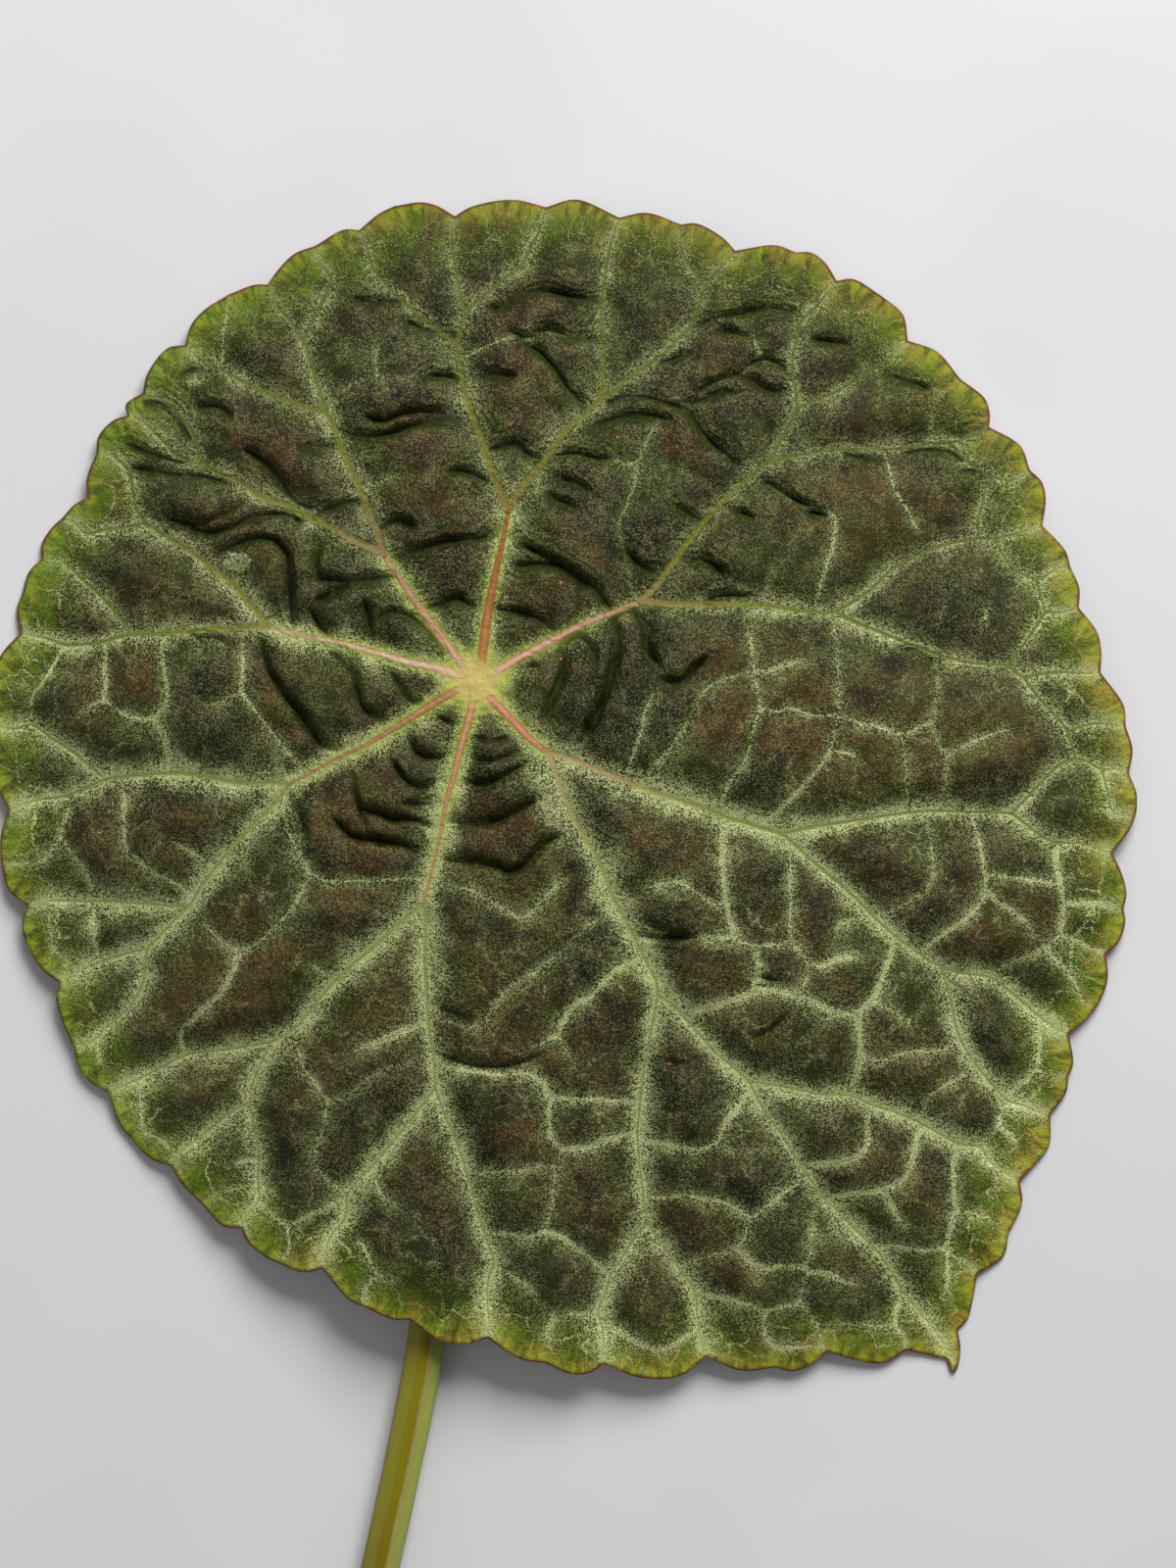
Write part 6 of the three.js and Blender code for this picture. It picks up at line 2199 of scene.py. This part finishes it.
@dataclass(frozen=True)
class BladeTones:
    """What the blade's mesh keeps on its colours: pools of light and dark, its lit side and tints.

    A pool is written as its middle in grid steps, its reach in millimetres and its gain.

    Attributes:
        tone: Pools of lighter and darker panels.
        gleam: Pools of painted sheen and painted shade that strengthen and weaken the glow beside the veins.
        scar: Healed, crumbly spot in the upper left, in two parts.
        tints: Tints of the main veins near the hub, in their order.
        far_tint: Tint of all of them far out.
        lit_side: Direction of the lit side, in radians; painted shade darkens the margin there and painted
            light brightens it on the far side.
        shade_range: Average and swing of the shade round the margin.
    """

    tone: tuple = (
        ((488, 697), 140, 0.05), ((860, 800), 26, 0.1), ((640, 330), 20, 0.1), ((470, 500), 20, -0.3),
        ((500, 290), 18, -0.35), ((700, 420), 18, -0.2), ((850, 1050), 16, -0.3), ((900, 560), 22, 0.15),
        ((1060, 690), 24, 0.25), ((160, 1120), 20, 0.5), ((400, 1150), 16, 0.05), ((1000, 1010), 24, 0.2),
        ((280, 1030), 22, 0.15), ((488, 697), 24, -0.12), ((240, 740), 14, -0.2), ((560, 940), 14, -0.3),
        ((120, 860), 14, -0.2), ((700, 800), 16, -0.15), ((340, 930), 14, 0.15),
    )
    gleam: tuple = (
        ((506, 560), 15, 0.45), ((610, 606), 15, -0.5), ((700, 880), 32, 0.32), ((860, 730), 24, 0.16),
        ((960, 1000), 24, 0.16), ((300, 620), 14, 0.12), ((300, 850), 28, 0.14), ((160, 640), 20, 0.12),
        ((960, 400), 24, -0.12), ((372, 420), 16, 0.35), ((120, 800), 24, 0.08),
    )
    scar: tuple = (((251, 577), 1.7, 1.0), ((238, 575), 1.5, 0.95))
    tints: tuple[Colour, ...] = (
        (166, 114, 62), (194, 156, 124), (182, 124, 98), (174, 132, 94), (156, 120, 80), (196, 170, 134),
        (186, 152, 116),
    )
    far_tint: Colour = (150, 142, 62)
    tint_change: Pair = (20, 24)
    lit_side: float = 1.45
    lit_from: float = 20.0
    outer: Pair = (3, 8)
    shade_range: Pair = (0.25, 0.42)
    most_shade: float = 0.5

    def keep_on(self, blade: bpy.types.Object, lines: Lines, place: Points) -> None:
        """Keeps all of it on the blade.

        Args:
            blade: The blade's object.
            lines: The drawn lines.
            place: The hub in the frame, in millimetres.
        """
        plan = vertices_of(blade)[:, :2] / MM - place
        reach = np.linalg.norm(plan, axis=1)
        for name, pools in (("tone", self.tone), ("gleam", self.gleam), ("scar", self.scar)):
            level = np.ones(len(plan))
            for middle, width, gain in pools:
                level += gain * bell(np.linalg.norm(plan - on_plan(middle), axis=1) / width)
            store(blade, name, level)
        away = np.cos(turn_between(np.arctan2(plan[:, 1], plan[:, 0]), self.lit_side))
        # share of the lit side, which the painted light and shade on the upper side follow
        store(blade, "north", 0.5 + 0.5 * away * smooth(reach / self.lit_from))
        store(blade, "course", lines.course(plan))
        # painted light and shade: a band along the margin, darker on the lit side and lighter on the far side
        average, swing = self.shade_range
        shade = np.minimum(self.most_shade, average - swing * away)
        store(blade, "shade", 1 + (1 - ramp(distance_to(*lines.pieces("margin"), plan), *self.outer)) * shade)
        off = np.stack([distance_to(route[:-1], route[1:], plan) for route in lines.routes["main"]])
        tints = np.array([tint(*colour) for colour in self.tints])[off.argmin(0)]
        tints = tints + (np.array(tint(*self.far_tint)) - tints) * ramp(reach, *self.tint_change)[:, None]
        attribute = blade.data.attributes.new("vein_tint", "FLOAT_COLOR", "POINT")
        attribute.data.foreach_set("color", tints.ravel().astype(np.float32))


def hub_place(lines: Lines) -> Points:
    """Where the hub stands in the frame in millimetres, found from the margin and the blade's own box."""
    low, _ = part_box("leaf_blade")
    return np.array(low[:2]) / MM - lines.margin.min(0)


def keep_inside(piece: bpy.types.Object, box: list) -> None:
    """Moves the few vertices that stand outside the solids' box onto it.

    Args:
        piece: Mesh object.
        box: Lowest and highest corner in metres.
    """
    low, high = np.array(box[0]), np.array(box[1])
    held = np.clip(vertices_of(piece), low + (INSIDE, INSIDE, 0), high - INSIDE)
    piece.data.vertices.foreach_set("co", held.ravel())
    piece.data.update()


def main() -> None:
    """Builds the leaf, dresses it and sets the stage."""
    logging.basicConfig(level=logging.INFO, format="%(message)s")
    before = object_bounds()
    lines = Lines()
    place = hub_place(lines)
    LOG.info("hub at %.3f, %.3f mm", *place)
    shape = Blade(lines)
    effects = Effects()
    blade = shape.build(place)
    BladeTones().keep_on(blade, lines, place)
    for finish in (BladeTopFinish(), BladeUnderFinish(), RimFinish()):
        blade.data.materials.append(finish.build(effects))
    stalk = Stalk(shape).build(place)
    for finish in (StalkFinish(), CutFinish()):
        stalk.data.materials.append(finish.build(effects))
    for piece, node, slot in ((blade, "leaf_blade", "blade"), (stalk, "leaf_stalk", "stalk")):
        keep_inside(piece, before)
        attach(piece, "root")
        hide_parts(node)
        LOG.info("%s: %d faces", piece.name, len(piece.data.polygons))
    Studio().build(place, effects)
    LOG.info("table, lights and camera set")
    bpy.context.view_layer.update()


if __name__ == "__main__":
    main()
